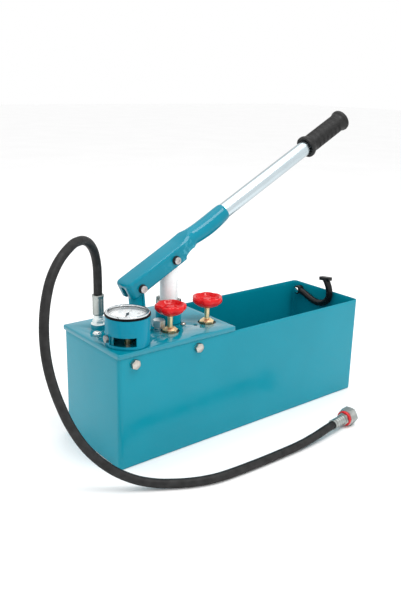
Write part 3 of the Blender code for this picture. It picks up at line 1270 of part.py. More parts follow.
def make_gauge_stem():
    """The gauge's connection, from the block through the lid into the case."""
    top = CASE_BOTTOM + CASE_WALL + STEM_TOP_RISE
    head_bottom = CASE_BOTTOM + CASE_WALL + GAP
    stem = [
        (0.0, top),
        (STEM_HEAD_RADIUS, top),
        (STEM_HEAD_RADIUS, head_bottom),
        (STEM_RADIUS, head_bottom),
        (STEM_RADIUS, BLOCK_TOP - STEM_REACH),
        (0.0, BLOCK_TOP - STEM_REACH),
    ]
    piece = add_turned("gauge_stem", stem, "brass", (GAUGE_X, GAUGE_Y, 0.0), sides=SMALL_SIDES)
    hex_base = (GAUGE_X, GAUGE_Y, SEAT_Z + STEM_HEX_BOTTOM)
    join(piece, add_hexagon("stem_hex", STEM_HEX_FLATS, STEM_HEX_HEIGHT, hex_base, None))


def make_housing_screw():
    """The hexagon screw that holds the gauge housing to the lid's tab."""
    turn = housing_screw_turn()
    seat = housing_screw_start(HOUSING_RADIUS / 2 + GAP)
    screw = add_hexagon("housing_screw", HOUSING_SCREW_FLATS, HOUSING_SCREW_HEAD, seat, "zinc", turn)
    tip = housing_screw_start(HOUSING_RADIUS / 2 + GAP - HOUSING_SCREW_REACH)
    length = HOUSING_SCREW_REACH + WELD_BITE
    join(screw, add_cylinder("housing_screw_shank", HOUSING_SCREW_RADIUS, length, tip, None, turn, SMALL_SIDES))


def stadium(lower, upper, radius, steps):
    """The outline round two points, one above the other."""
    points = arc(upper, radius, 0.0, math.pi, steps)
    points += arc(lower, radius, math.pi, 2 * math.pi, steps)
    return points


def make_link():
    """The bracket on the lid, its pin, and the link that rocks on it and carries the lever."""
    half = LINK_THICKNESS / 2 + BRACKET_SIDE_GAP + BRACKET_SHEET
    base_z = SEAT_Z - LINK_BASE.z
    wrap = BRACKET_EYE_WRAP
    eye = arc((0.0, 0.0), BRACKET_EYE_RADIUS, -wrap, math.pi + wrap, SMALL_SIDES - 1)
    outline = [
        (-BRACKET_BASE_HALF, base_z),
        (BRACKET_BASE_HALF, base_z),
        (BRACKET_BASE_HALF, base_z + BRACKET_SHEET),
        *eye,
        (-BRACKET_BASE_HALF, base_z + BRACKET_SHEET),
    ]
    bracket = add_outline("link_bracket", outline, 2 * half, "paint", LINK_BASE, ALONG_MINUS_Y)
    slot_width = LINK_THICKNESS + 2 * BRACKET_SIDE_GAP
    slot_floor = base_z + BRACKET_SHEET - BRACKET_RELIEF
    low = LINK_BASE + Vector((-BRACKET_BASE_HALF - CUT_OVERRUN, -slot_width / 2, slot_floor))
    high = LINK_BASE + Vector((BRACKET_BASE_HALF + CUT_OVERRUN, slot_width / 2, BRACKET_EYE_RADIUS + CUT_OVERRUN))
    cut(bracket, add_box_between("bracket_slot", low, high, None))
    across = 2 * (half + CUT_OVERRUN)
    pin_start = LINK_BASE + Vector((0.0, half + CUT_OVERRUN, 0.0))
    bore(bracket, LINK_PIN_RADIUS + GAP, pin_start, across, ALONG_MINUS_Y, SMALL_SIDES)
    for number, x in enumerate(bracket_screw_xs()):
        start = (x, 0.0, SEAT_Z - CUT_OVERRUN)
        bore(bracket, SCREW_RADIUS + GAP, start, BRACKET_SHEET + 2 * CUT_OVERRUN, sides=SMALL_SIDES)
        end = ("left", "right")[number]
        screw_seat = (x, 0.0, SEAT_Z + BRACKET_SHEET - BRACKET_RELIEF + GAP)
        add_screw(f"bracket_screw_{end}", screw_seat)

    front = half + GAP + LINK_PIN_HEAD
    pin = [
        (0.0, front),
        (LINK_PIN_HEAD_RADIUS, front),
        (LINK_PIN_HEAD_RADIUS, half + GAP),
        (LINK_PIN_RADIUS, half + GAP),
        (LINK_PIN_RADIUS, -half - GAP),
        (LINK_PIN_HEAD_RADIUS, -half - GAP),
        (LINK_PIN_HEAD_RADIUS, -front),
        (0.0, -front),
    ]
    add_turned("link_pin", pin, "zinc", LINK_BASE, ALONG_MINUS_Y, sides=SMALL_SIDES)

    link_axis = bpy.data.objects.new("link_axis", None)
    PARTS.objects.link(link_axis)
    link_axis.location = LINK_BASE
    link_axis.rotation_euler = (0.0, LINK_REST_ANGLE, 0.0)
    shape = stadium((0.0, 0.0), (0.0, LINK_LENGTH), LINK_END_RADIUS, SMALL_SIDES // 2)
    link = add_outline("fulcrum_link", shape, LINK_BAR_THICKNESS, "paint", turn=ALONG_MINUS_Y)
    link.parent = link_axis
    boss_y = LINK_THICKNESS / 2
    start_y = boss_y + CUT_OVERRUN
    for number, height in enumerate((0.0, LINK_LENGTH)):
        boss_base = (0.0, boss_y, height)
        boss_name = f"link_boss_{number}"
        boss = add_cylinder(boss_name, LINK_BOSS_RADIUS, LINK_THICKNESS, boss_base, None, ALONG_MINUS_Y)
        boss.parent = link_axis
        join(link, boss)
    for height in (0.0, LINK_LENGTH):
        radius = (LINK_PIN_RADIUS if height == 0.0 else PIVOT_RADIUS) + GAP
        bore(link, radius, (0.0, start_y, height), 2 * start_y, ALONG_MINUS_Y, SMALL_SIDES, link_axis)
    groove_height = LINK_LENGTH - 2 * LINK_GROOVE_MARGIN
    for side in (-1, 1):
        size = (LINK_GROOVE_WIDTH, 2 * LINK_GROOVE_DEPTH, groove_height)
        centre = (LINK_GROOVE_OFFSET, side * LINK_BAR_THICKNESS / 2, LINK_LENGTH / 2)
        groove = add_box(f"link_groove_{side}", size, centre, None)
        groove.parent = link_axis
        cut(link, groove)


def channel_section(half, top, bottom, radius, per_corner=4):
    """A rounded rectangle of (y, n) points."""
    corners = (
        (half - radius, top - radius, 0.0),
        (radius - half, top - radius, math.pi / 2),
        (radius - half, bottom + radius, math.pi),
        (half - radius, bottom + radius, 3 * math.pi / 2),
    )
    points = []
    for y, n, start in corners:
        points += arc((y, n), radius, start, start + math.pi / 2, per_corner)
    return points


def add_loft(name, sections, finish):
    """A closed body through (u, points) sections of equal point count."""
    bm = bmesh.new()
    rings = [[bm.verts.new((u, y, n)) for y, n in points] for u, points in sections]
    count = len(rings[0])
    for first, second in zip(rings, rings[1:]):
        for i in range(count):
            j = (i + 1) % count
            bm.faces.new((first[i], first[j], second[j], second[i]))
    bm.faces.new(rings[0])
    bm.faces.new(list(reversed(rings[-1])))
    bmesh.ops.recalc_face_normals(bm, faces=bm.faces)
    return add_piece(name, mesh_from(bm, name), finish)


def make_lever():
    """The pressed channel with its tube socket, the zinc tube and the rubber grip."""
    lever_axis = bpy.data.objects.new("lever_axis", None)
    PARTS.objects.link(lever_axis)
    lever_axis.location = LEVER_PIVOT
    lever_axis.rotation_euler = (0.0, -LEVER_REST_ANGLE, 0.0)

    half = CHANNEL_WIDTH / 2
    round_top = LEVER_TUBE_N + SOCKET_RADIUS
    round_bottom = LEVER_TUBE_N - SOCKET_RADIUS
    tip_radius = SOCKET_RADIUS - GAP
    steps = 4
    sections = []
    for i in range(steps + 1):
        turn = math.pi / 2 * i / steps
        u = -CHANNEL_TAIL + CHANNEL_TAIL_ROUND * (1 - math.cos(turn))
        narrower = CHANNEL_TAIL_INSET * (1 - math.sin(turn))
        lower = CHANNEL_TAIL_DROP * (1 - math.sin(turn))
        section = channel_section(half - narrower, CHANNEL_TOP - lower, CHANNEL_BOTTOM, CHANNEL_EDGE_RADIUS)
        sections.append((u, section))
    straight = channel_section(half, CHANNEL_TOP, CHANNEL_BOTTOM, CHANNEL_EDGE_RADIUS)
    sections.append((CHANNEL_STRAIGHT, straight))
    for i in range(1, steps + 1):
        share = i / steps
        ease = share * share * (3 - 2 * share)
        u = CHANNEL_STRAIGHT + (CHANNEL_TAPER_END - CHANNEL_STRAIGHT) * share
        section = channel_section(
            half + (SOCKET_RADIUS - half) * ease,
            CHANNEL_TOP + (round_top - CHANNEL_TOP) * ease,
            CHANNEL_BOTTOM + (round_bottom - CHANNEL_BOTTOM) * ease,
            CHANNEL_EDGE_RADIUS + (tip_radius - CHANNEL_EDGE_RADIUS) * ease,
        )
        sections.append((u, section))
    sections.append((SOCKET_END, channel_section(SOCKET_RADIUS, round_top, round_bottom, tip_radius)))
    channel = add_loft("lever_channel", sections, "paint")
    channel.parent = lever_axis

    void_half = half - CHANNEL_SHEET
    void_start = CHANNEL_TAIL_SHEET - CHANNEL_TAIL
    void_bottom = CHANNEL_BOTTOM - CUT_OVERRUN
    voids = (
        ((void_start, -void_half, void_bottom), (CHANNEL_VOID_END, void_half, CHANNEL_TOP - CHANNEL_SHEET)),
        ((-CHANNEL_TAIL - CUT_OVERRUN, -TAIL_SLOT_HALF, void_bottom), (0.0, TAIL_SLOT_HALF, TAIL_SLOT_TOP)),
    )
    for number, (low, high) in enumerate(voids):
        void = add_box_between(f"channel_void_{number}", low, high, None)
        void.parent = lever_axis
        cut(channel, void)
    start = (LEVER_TUBE_START - TUBE_END_GAP, 0.0, LEVER_TUBE_N)
    socket_reach = SOCKET_END - LEVER_TUBE_START + TUBE_END_GAP + CUT_OVERRUN
    bore(channel, LEVER_TUBE_RADIUS + GAP, start, socket_reach, ALONG_X, SIDES, lever_axis)
    across = half + CUT_OVERRUN
    for u, n in ((0.0, 0.0), (PISTON_BOLT_U, PISTON_BOLT_N)):
        bore(channel, PIVOT_RADIUS + GAP, (u, across, n), 2 * across, ALONG_MINUS_Y, SMALL_SIDES, lever_axis)

    tube_end = GRIP_BORE_END - TUBE_END_GAP
    inner = LEVER_TUBE_RADIUS - LEVER_TUBE_WALL
    tube = hex_ring_profile(LEVER_TUBE_RADIUS, inner, 0.0, tube_end - LEVER_TUBE_START)
    place = (LEVER_TUBE_START, 0.0, LEVER_TUBE_N)
    add_turned("lever_tube", tube, "zinc", place, ALONG_X, ring=True).parent = lever_axis

    place = (GRIP_START, 0.0, LEVER_TUBE_N)
    grip = add_turned("lever_grip", grip_profile(), "rubber", place, ALONG_X)
    grip.parent = lever_axis
    grip_bore = GRIP_BORE_END - GRIP_START + CUT_OVERRUN
    start = (GRIP_START - CUT_OVERRUN, 0.0, LEVER_TUBE_N)
    bore(grip, LEVER_TUBE_RADIUS + GAP, start, grip_bore, ALONG_X, SIDES, lever_axis)

    make_pivot_bolt("pivot_bolt", "pivot_nut", (0.0, 0.0, 0.0), lever_axis)
    make_pivot_bolt("piston_bolt", "piston_nut", (PISTON_BOLT_U, 0.0, PISTON_BOLT_N), lever_axis)


def grip_profile():
    """The grip's outline, top of the list at its far end."""
    length = GRIP_END - GRIP_START
    edge = GRIP_FLANGE_LENGTH / 3
    points = [
        (0.0, length),
        (GRIP_FLANGE_RADIUS - edge, length),
        (GRIP_FLANGE_RADIUS, length - edge),
        (GRIP_FLANGE_RADIUS, length - GRIP_FLANGE_LENGTH),
    ]
    top = length - 2 * GRIP_FLANGE_LENGTH
    bottom = 2 * GRIP_FLANGE_LENGTH
    pitch = (top - bottom) / GRIP_RIBS
    for i in range(GRIP_RIBS):
        points.append((GRIP_RADIUS, top - pitch * i))
        points.append((GRIP_RADIUS - GRIP_RIB_DEPTH, top - pitch * (i + 0.5)))
    points += [
        (GRIP_RADIUS, bottom),
        (GRIP_FLANGE_RADIUS, GRIP_FLANGE_LENGTH),
        (GRIP_FLANGE_RADIUS, edge),
        (GRIP_FLANGE_RADIUS - edge, 0.0),
        (0.0, 0.0),
    ]
    return points


def make_pivot_bolt(bolt_name, nut_name, place, parent):
    """A socket-head screw across the channel, with its nut on the back."""
    nut_face = BOLT_GRIP + GAP
    head_face = BOLT_GRIP + GAP
    tail = nut_face + PIVOT_NUT_HEIGHT + PIVOT_TAIL
    profile = [
        (0.0, head_face + PIVOT_HEAD),
        (PIVOT_HEAD_RADIUS - WELD_BITE, head_face + PIVOT_HEAD),
        (PIVOT_HEAD_RADIUS, head_face + PIVOT_HEAD - WELD_BITE),
        (PIVOT_HEAD_RADIUS, head_face + PIVOT_FLANGE),
        (PIVOT_FLANGE_RADIUS, head_face + PIVOT_FLANGE),
        (PIVOT_FLANGE_RADIUS, head_face),
        (PIVOT_RADIUS, head_face),
        (PIVOT_RADIUS, -tail),
        (0.0, -tail),
    ]
    bolt = add_turned(bolt_name, profile, "zinc", place, ALONG_MINUS_Y, sides=SMALL_SIDES)
    bolt.parent = parent
    socket_base = (place[0], place[1] - head_face - PIVOT_HEAD + PIVOT_SOCKET_DEPTH, place[2])
    socket_length = PIVOT_SOCKET_DEPTH + CUT_OVERRUN
    socket_name = f"{bolt_name}_socket"
    socket = add_hexagon(socket_name, PIVOT_SOCKET_FLATS, socket_length, socket_base, None, ALONG_MINUS_Y)
    socket.parent = parent
    cut(bolt, socket)
    nut_base = (place[0], nut_face, place[2])
    nut = add_hexagon(nut_name, PIVOT_NUT_FLATS, PIVOT_NUT_HEIGHT, nut_base, "zinc", ALONG_Y)
    nut.parent = parent
    start = (place[0], nut_face - CUT_OVERRUN, place[2])
    bore(nut, PIVOT_RADIUS + GAP, start, PIVOT_NUT_HEIGHT + 2 * CUT_OVERRUN, ALONG_Y, SMALL_SIDES, parent)


def make_hook():
    """The bent-rod hook that holds the lowered lever, on a riveted pin in the end wall."""
    wall = -TANK_END - TANK_SHEET
    x = wall - HOOK_WALL_GAP - HOOK_HUB_LENGTH / 2
    pin_place = (x, HOOK_PIN_Y, HOOK_PIN_Z)
    points = [(0.0, y * HOOK_REACH, z * HOOK_RISE) for y, z in HOOK_LINE_SHARES]
    hook = curve_to_mesh(add_rod("hook", points, HOOK_RADIUS, "black_paint"))
    hook.location = pin_place
    hub_base = (x - HOOK_HUB_LENGTH / 2, HOOK_PIN_Y, HOOK_PIN_Z)
    join(hook, add_cylinder("hook_hub", HOOK_HUB_RADIUS, HOOK_HUB_LENGTH, hub_base, None, ALONG_X, SMALL_SIDES))
    tab_centre = (x, HOOK_PIN_Y + points[-1][1], HOOK_PIN_Z + points[-1][2])
    size = (HOOK_TAB_DEPTH, HOOK_TAB_WIDTH, HOOK_TAB_HEIGHT)
    join(hook, add_box("hook_tab", size, tab_centre, None, (HOOK_TAB_ANGLE, 0.0, 0.0)))
    start = (x - HOOK_HUB_LENGTH, HOOK_PIN_Y, HOOK_PIN_Z)
    bore(hook, HOOK_PIN_RADIUS + GAP, start, 2 * HOOK_HUB_LENGTH, ALONG_X, SMALL_SIDES)

    inner_face = x - HOOK_HUB_LENGTH / 2 - GAP
    outer_face = -TANK_END + GAP
    length = outer_face - inner_face
    pin = [
        (0.0, length + HOOK_PIN_RIVET),
        (HOOK_PIN_HEAD_RADIUS, length + HOOK_PIN_RIVET),
        (HOOK_PIN_HEAD_RADIUS, length),
        (HOOK_PIN_RADIUS, length),
        (HOOK_PIN_RADIUS, 0.0),
        (HOOK_PIN_HEAD_RADIUS, 0.0),
        (HOOK_PIN_HEAD_RADIUS, WELD_BITE - HOOK_PIN_HEAD),
        (HOOK_PIN_HEAD_RADIUS - WELD_BITE, -HOOK_PIN_HEAD),
        (0.0, -HOOK_PIN_HEAD),
    ]
    add_turned("hook_pin", pin, "zinc", (inner_face, HOOK_PIN_Y, HOOK_PIN_Z), ALONG_X, sides=SMALL_SIDES)


def smooth_route(points, step):
    """Evenly spaced points on a Catmull-Rom curve through the route's own points."""
    knots = [Vector(p) for p in points]
    before = knots[0] * 2 - knots[1]
    after = knots[-1] * 2 - knots[-2]
    padded = [before, *knots, after]
    fine = 12
    dense = []
    for i in range(1, len(padded) - 2):
        a, b, c, d = padded[i - 1 : i + 3]
        for k in range(fine):
            t = k / fine
            curve = (c - a) * t + (a * 2 - b * 5 + c * 4 - d) * t**2 + (b * 3 - a - c * 3 + d) * t**3
            dense.append(b + curve / 2)
    dense.append(knots[-1])
    lengths = [0.0]
    for p, q in zip(dense, dense[1:]):
        lengths.append(lengths[-1] + (q - p).length)
    count = round(lengths[-1] / step)
    result = []
    k = 0
    for i in range(count + 1):
        target = lengths[-1] * i / count
        while k < len(lengths) - 2 and lengths[k + 1] < target:
            k += 1
        part = (target - lengths[k]) / (lengths[k + 1] - lengths[k])
        result.append(dense[k].lerp(dense[k + 1], part))
    return result, lengths[-1]


def ferrule_profile(length, bore_radius):
    """A crimped sleeve, hose end at the top, with a blind bore for the nipple."""
    margin = FERRULE_CRIMP_MARGIN
    pitch = (length - 2 * margin) / FERRULE_CRIMPS
    outer = [(FERRULE_RADIUS, length)]
    for i in range(FERRULE_CRIMPS):
        top = length - margin - pitch * i
        outer.append((FERRULE_RADIUS, top))
        outer.append((FERRULE_CRIMP_RADIUS, top - pitch * 0.25))
        outer.append((FERRULE_CRIMP_RADIUS, top - pitch * 0.75))
    outer.append((FERRULE_RADIUS, margin))
    outer.append((FERRULE_RADIUS, 0.0))
    inner = [(bore_radius, 0.0), (bore_radius, NIPPLE_REACH + GAP), (0.0, NIPPLE_REACH + GAP)]
    return [(0.0, length), *outer, *inner]


def make_hose():
    """The adapter on the lid, the hose with its two ferrules, and the swivel nut on the floor end."""
    route, length = smooth_route(HOSE_ROUTE, HOSE_STEP)
    add_rod("hose", route, HOSE_RADIUS, "rubber", HOSE_BEVEL_RESOLUTION)
    print(f"hose length {length:.4f} m")

    x, y, exit_z = HOSE_ROUTE[0]
    seat = LID_TOP + BOSS_HEIGHT + GAP
    hex_top = seat + ADAPTER_HEX
    collar_top = hex_top + ADAPTER_COLLAR
    adapter = [
        (0.0, collar_top + NIPPLE_REACH),
        (NIPPLE_RADIUS, collar_top + NIPPLE_REACH),
        (NIPPLE_RADIUS, collar_top),
        (ADAPTER_COLLAR_RADIUS, collar_top),
        (ADAPTER_COLLAR_RADIUS, seat),
        (ADAPTER_THREAD_RADIUS, seat),
        (ADAPTER_THREAD_RADIUS, BLOCK_TOP - ADAPTER_REACH),
        (0.0, BLOCK_TOP - ADAPTER_REACH),
    ]
    piece = add_turned("hose_adapter", adapter, "zinc", (x, y, 0.0), sides=SMALL_SIDES)
    join(piece, add_hexagon("adapter_hex", ADAPTER_FLATS, ADAPTER_HEX, (x, y, seat), None))
    sleeve_bottom = collar_top + GAP
    sleeve_length = exit_z - GAP - sleeve_bottom
    profile = ferrule_profile(sleeve_length, NIPPLE_RADIUS + GAP)
    add_turned("pump_ferrule", profile, "zinc", (x, y, sleeve_bottom), sides=SMALL_SIDES)

    end = Vector(HOSE_ROUTE[-1])
    along = Vector((math.cos(HOSE_END_ANGLE), math.sin(HOSE_END_ANGLE), 0.0))
    outward = (0.0, math.pi / 2, HOSE_END_ANGLE)
    inward = (0.0, -math.pi / 2, HOSE_END_ANGLE)
    sleeve_end = end + along * (GAP + END_FERRULE_LENGTH)
    profile = ferrule_profile(END_FERRULE_LENGTH, NIPPLE_RADIUS + GAP)
    add_turned("end_ferrule", profile, "zinc", sleeve_end, inward, sides=SMALL_SIDES)

    ring = hex_ring_profile(SEAL_RING_RADIUS, FERRULE_RADIUS + GAP, 0.0, SEAL_RING_WIDTH)
    ring_place = end + along * SEAL_RING_START
    add_turned("seal_ring", ring, "red_plastic", ring_place, outward, ring=True)

    nut_start = SEAL_RING_START + SEAL_RING_WIDTH + GAP
    nut_place = end + along * nut_start
    nut = add_hexagon("swivel_nut", SWIVEL_FLATS, SWIVEL_LENGTH, nut_place, "zinc", outward)
    bore_start = nut_place + along * SWIVEL_BACK_WALL
    bore(nut, SWIVEL_BORE_RADIUS, bore_start, SWIVEL_LENGTH, outward)
    bore(nut, TAIL_RADIUS + GAP, nut_place - along * CUT_OVERRUN, SWIVEL_LENGTH, outward, SMALL_SIDES)

    collar_start = nut_start + SWIVEL_BACK_WALL + GAP
    tail_end = nut_start + SWIVEL_LENGTH - TAIL_END_INSET
    start = END_FERRULE_LENGTH + 2 * GAP
    tail = [
        (0.0, tail_end),
        (TAIL_RADIUS, tail_end),
        (TAIL_COLLAR_RADIUS, collar_start + TAIL_COLLAR),
        (TAIL_COLLAR_RADIUS, collar_start),
        (TAIL_RADIUS, collar_start),
        (TAIL_RADIUS, start),
        (NIPPLE_RADIUS, start),
        (NIPPLE_RADIUS, start - NIPPLE_REACH),
        (0.0, start - NIPPLE_REACH),
    ]
    add_turned("hose_tail", tail, "steel", end, outward, sides=SMALL_SIDES)


def settle_pieces():
    """Gives each piece the mesh that its modifiers make, shaded smooth except at its sharp edges."""
    bpy.context.view_layer.update()
    graph = bpy.context.evaluated_depsgraph_get()
    settled = {}
    for obj in PARTS.objects:
        if obj.type == "MESH":
            settled[obj] = bpy.data.meshes.new_from_object(obj.evaluated_get(graph))
    for obj, mesh in settled.items():
        obj.modifiers.clear()
        obj.data = mesh
        mesh.shade_smooth()
        mesh.set_sharp_from_angle(angle=math.radians(35))


make_tank()
make_lid()
make_lid_bolts()
make_lid_screws()
make_manifold()
make_pump()
make_plunger()
make_foot_valve()
make_delivery_valve()
for valve_name, valve_x in zip(VALVE_NAMES, VALVE_XS):
    make_valve(valve_name, valve_x)
make_gauge()
make_link()
make_lever()
make_hook()
make_hose()
settle_pieces()
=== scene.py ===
import math

import bmesh
import bpy
from mathutils import Matrix, Vector


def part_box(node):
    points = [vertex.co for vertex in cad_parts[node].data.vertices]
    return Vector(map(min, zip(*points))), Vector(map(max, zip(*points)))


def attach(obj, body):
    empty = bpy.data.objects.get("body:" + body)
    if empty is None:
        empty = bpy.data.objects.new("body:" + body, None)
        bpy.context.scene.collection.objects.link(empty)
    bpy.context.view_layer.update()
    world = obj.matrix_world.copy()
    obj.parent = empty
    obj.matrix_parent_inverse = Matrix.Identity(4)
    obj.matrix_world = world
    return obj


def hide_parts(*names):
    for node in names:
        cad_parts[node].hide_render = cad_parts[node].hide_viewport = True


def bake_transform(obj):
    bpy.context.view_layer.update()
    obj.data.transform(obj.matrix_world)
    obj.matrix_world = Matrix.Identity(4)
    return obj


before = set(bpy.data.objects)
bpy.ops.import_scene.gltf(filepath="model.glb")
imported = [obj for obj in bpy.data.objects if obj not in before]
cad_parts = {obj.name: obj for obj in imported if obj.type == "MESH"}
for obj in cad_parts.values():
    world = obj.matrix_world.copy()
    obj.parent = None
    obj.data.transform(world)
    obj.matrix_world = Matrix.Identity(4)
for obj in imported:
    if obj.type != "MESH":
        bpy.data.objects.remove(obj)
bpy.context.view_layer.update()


def mm(*rows):
    """Rows of millimetres in metres, as every other length here is."""
    return [tuple(value / 1000 for value in row) for row in rows]


TAU = 2 * math.pi
QUARTER = TAU / 4
UP = Vector((0.0, 0.0, 1.0))

# Camera
CAMERA_PLACE = (-0.72895, -0.84975, 0.54051)
CAMERA_TURN = (72.6772, -1.2625, -38.3475)
CAMERA_LENS = 42.67

# Lever linkage, and the tube's rise over it
LINK_BASE = Vector((-0.166, 0.0, 0.1955))
LINK_LENGTH = 0.05
LINK_TURN = -5.85
LEVER_PIVOT = Vector((-0.171096, 0.0, 0.24524))
LEVER_TURN = 27.5
PISTON = (0.0698, 0.00265)
PUMP_X = -0.110406
PISTON_Z = 0.279821
TUBE_RISE = 0.008
CHEEK_FACE = 0.0183

# Fittings on the lid
VALVE_Y = -0.0366
VALVES = {"test_valve": -0.1334, "release_valve": -0.0631}
GAUGE = (-0.2135, -0.044)
GAUGE_SLOT_TURN = -184
HOUSING_RADIUS, HOUSING_TOP = 0.0325, 0.2208
PLUG = (-0.1392, -0.0155)
PAN_SCREW = (-0.101, -0.0254)
DOME_SCREW = (-0.2337, 0.0075)
BRACKET_SCREWS = {"left": -0.1775, "right": -0.1545}

# Tank and lid, and the fittings' seat on it
TANK_LENGTH, TANK_WIDTH, TANK_HEIGHT = 0.5, 0.156, 0.171
TANK_SHEET, TANK_CORNER, TANK_FOOT = 0.0015, 0.007, 0.0025
LID_LEFT, LID_RIGHT, LID_HALF = -0.2515, -0.039, 0.0795
LID_BOTTOM, LID_TOP = 0.1713, 0.1783
LID_SHEET, LID_FOLD, LID_CORNER = 0.002, 0.0022, 0.0035
SEAT = 0.1786
BLOCK_TOP = 0.176
LID_BOLT_X = {"left": -0.2245, "right": -0.1123}
LID_BOLT_Z = 0.16
M8_FLATS, M8_NUT = 0.013, 0.0065
HOOK_CENTRE = (0.242, 0.0592, 0.157)

# Hose
HOSE_RADIUS = 0.0065
HOSE_STEP = 0.006
HOSE_ROUTE = mm(
    (-217.5, 30.2, 232.6), (-217.5, 30, 253), (-220, 27, 278), (-229.5, 17.5, 301), (-243.5, 6, 317),
    (-259, -6, 325.5), (-274, -17, 328), (-289, -27, 326.5), (-315, -44, 315), (-335, -56, 295), (-348, -66, 271),
    (-355, -72.5, 247), (-358, -77, 222), (-358, -81, 197), (-354.5, -84.5, 170), (-347, -88.5, 139),
    (-334, -93.5, 102), (-315, -101.5, 66), (-290, -114.5, 36.5), (-263, -129.5, 18), (-238, -144.5, 9.8),
    (-214, -158.5, 7.4), (-191, -170.5, 6.9), (-167, -179, 6.8), (-142, -183.5, 6.8), (-91, -186, 6.8),
    (-40, -186.5, 7), (5, -186.5, 8.2), (40, -184.7, 10.8), (66, -181.9, 13.2), (86.3, -179, 13.9),
)
HOSE_FOOT = HOSE_ROUTE[0][:2]
HOSE_END_TURN = 8
HOSE_FLANGE_TWIST = 8

# The lid's holes: x, y, radius. The last is a small open eye
LID_HOLES = (
    (PUMP_X, 0.0, 0.0178), (*PLUG, 0.0065), (*GAUGE, 0.0053), (*HOSE_FOOT, 0.0065), (*PAN_SCREW, 0.0028),
    (*DOME_SCREW, 0.0033), *[(x, 0.0, 0.0028) for x in BRACKET_SCREWS.values()],
    *[(x, VALVE_Y, 0.0142) for x in VALVES.values()], (-0.087, -0.0385, 0.003),
)


# Materials

def noise(tree, coords, scale, detail, stretch=None):
    source = coords
    if stretch:
        mapping = tree.nodes.new("ShaderNodeMapping")
        mapping.inputs["Scale"].default_value = stretch
        tree.links.new(coords, mapping.inputs["Vector"])
        source = mapping.outputs["Vector"]
    node = tree.nodes.new("ShaderNodeTexNoise")
    node.inputs["Scale"].default_value = scale
    node.inputs["Detail"].default_value = detail
    tree.links.new(source, node.inputs["Vector"])
    return node.outputs["Fac"]


def ramp(tree, source, low, high, start=0.35, end=0.65):
    node = tree.nodes.new("ShaderNodeMapRange")
    for name, value in (("From Min", start), ("From Max", end), ("To Min", low), ("To Max", high)):
        node.inputs[name].default_value = value
    tree.links.new(source, node.inputs["Value"])
    return node.outputs["Result"]


def blend_colour(tree, factor, first, second):
    node = tree.nodes.new("ShaderNodeMix")
    node.data_type = "RGBA"
    tree.links.new(factor, node.inputs["Factor"])
    for name, value in (("A", first), ("B", second)):
        port = [p for p in node.inputs if p.name == name and p.type == "RGBA"][0]
        if isinstance(value, tuple):
            port.default_value = (*value, 1.0)
        else:
            tree.links.new(value, port)
    return [p for p in node.outputs if p.type == "RGBA"][0]


def finish(name, colour, rough, spread, metallic, mottle, mottle_scale, grain, depth,
           stretch=None, wear=None, wear_amount=0.5, rim=1.0, specular=0.5, alpha=1.0):
    """A material with colour and gloss that vary over the surface, a fine bump and worn edges.
    rim is the share of its colour that is left where the surface turns away from the eye."""
    material = bpy.data.materials.new(name)
    material.use_nodes = True
    tree = material.node_tree
    shader = tree.nodes["Principled BSDF"]
    coords = tree.nodes.new("ShaderNodeTexCoord").outputs["Object"]
    darker = tuple(c * (1 - mottle) for c in colour)
    lighter = tuple(min(1.0, c * (1 + mottle)) for c in colour)
    shade = blend_colour(tree, ramp(tree, noise(tree, coords, mottle_scale, 4.0), 0.0, 1.0), darker, lighter)
    if wear:
        edges = tree.nodes.new("ShaderNodeNewGeometry").outputs["Pointiness"]
        patches = noise(tree, coords, 160.0, 4.0)
        both = tree.nodes.new("ShaderNodeMath")
        both.operation = "MULTIPLY"
        tree.links.new(ramp(tree, edges, 0.0, 1.0, 0.53, 0.6), both.inputs[0])
        tree.links.new(ramp(tree, patches, 0.0, wear_amount, 0.45, 0.62), both.inputs[1])
        shade = blend_colour(tree, both.outputs["Value"], shade, wear)
    # Painted shade: the colour darkens to rim times itself where the surface turns away from the eye, standing in for
    # dark reflections and shade along a round part's edges.
    if rim < 1.0:
        facing = tree.nodes.new("ShaderNodeLayerWeight").outputs["Facing"]
        shade = blend_colour(tree, ramp(tree, facing, 0.0, 1.0, 0.3, 0.75), shade, tuple(c * rim for c in colour))
    tree.links.new(shade, shader.inputs["Base Color"])
    gloss = ramp(tree, noise(tree, coords, mottle_scale * 3, 5.0, stretch), max(0.02, rough - spread), rough + spread)
    tree.links.new(gloss, shader.inputs["Roughness"])
    height = noise(tree, coords, grain, 2.0, stretch)
    bump = tree.nodes.new("ShaderNodeBump")
    bump.inputs["Strength"].default_value = 1.0
    bump.inputs["Distance"].default_value = depth
    tree.links.new(height, bump.inputs["Height"])
    tree.links.new(bump.outputs["Normal"], shader.inputs["Normal"])
    for socket, value in (("Metallic", metallic), ("Specular IOR Level", specular), ("Alpha", alpha)):
        shader.inputs[socket].default_value = value
    material.diffuse_color = (*colour, 1.0)
    return material


RINGS = {"stretch": (1.0, 1.0, 30.0)}


def paint(specular=0.5, amount=0.5):
    return {"wear": (0.08, 0.4, 0.5), "wear_amount": amount, "specular": specular}
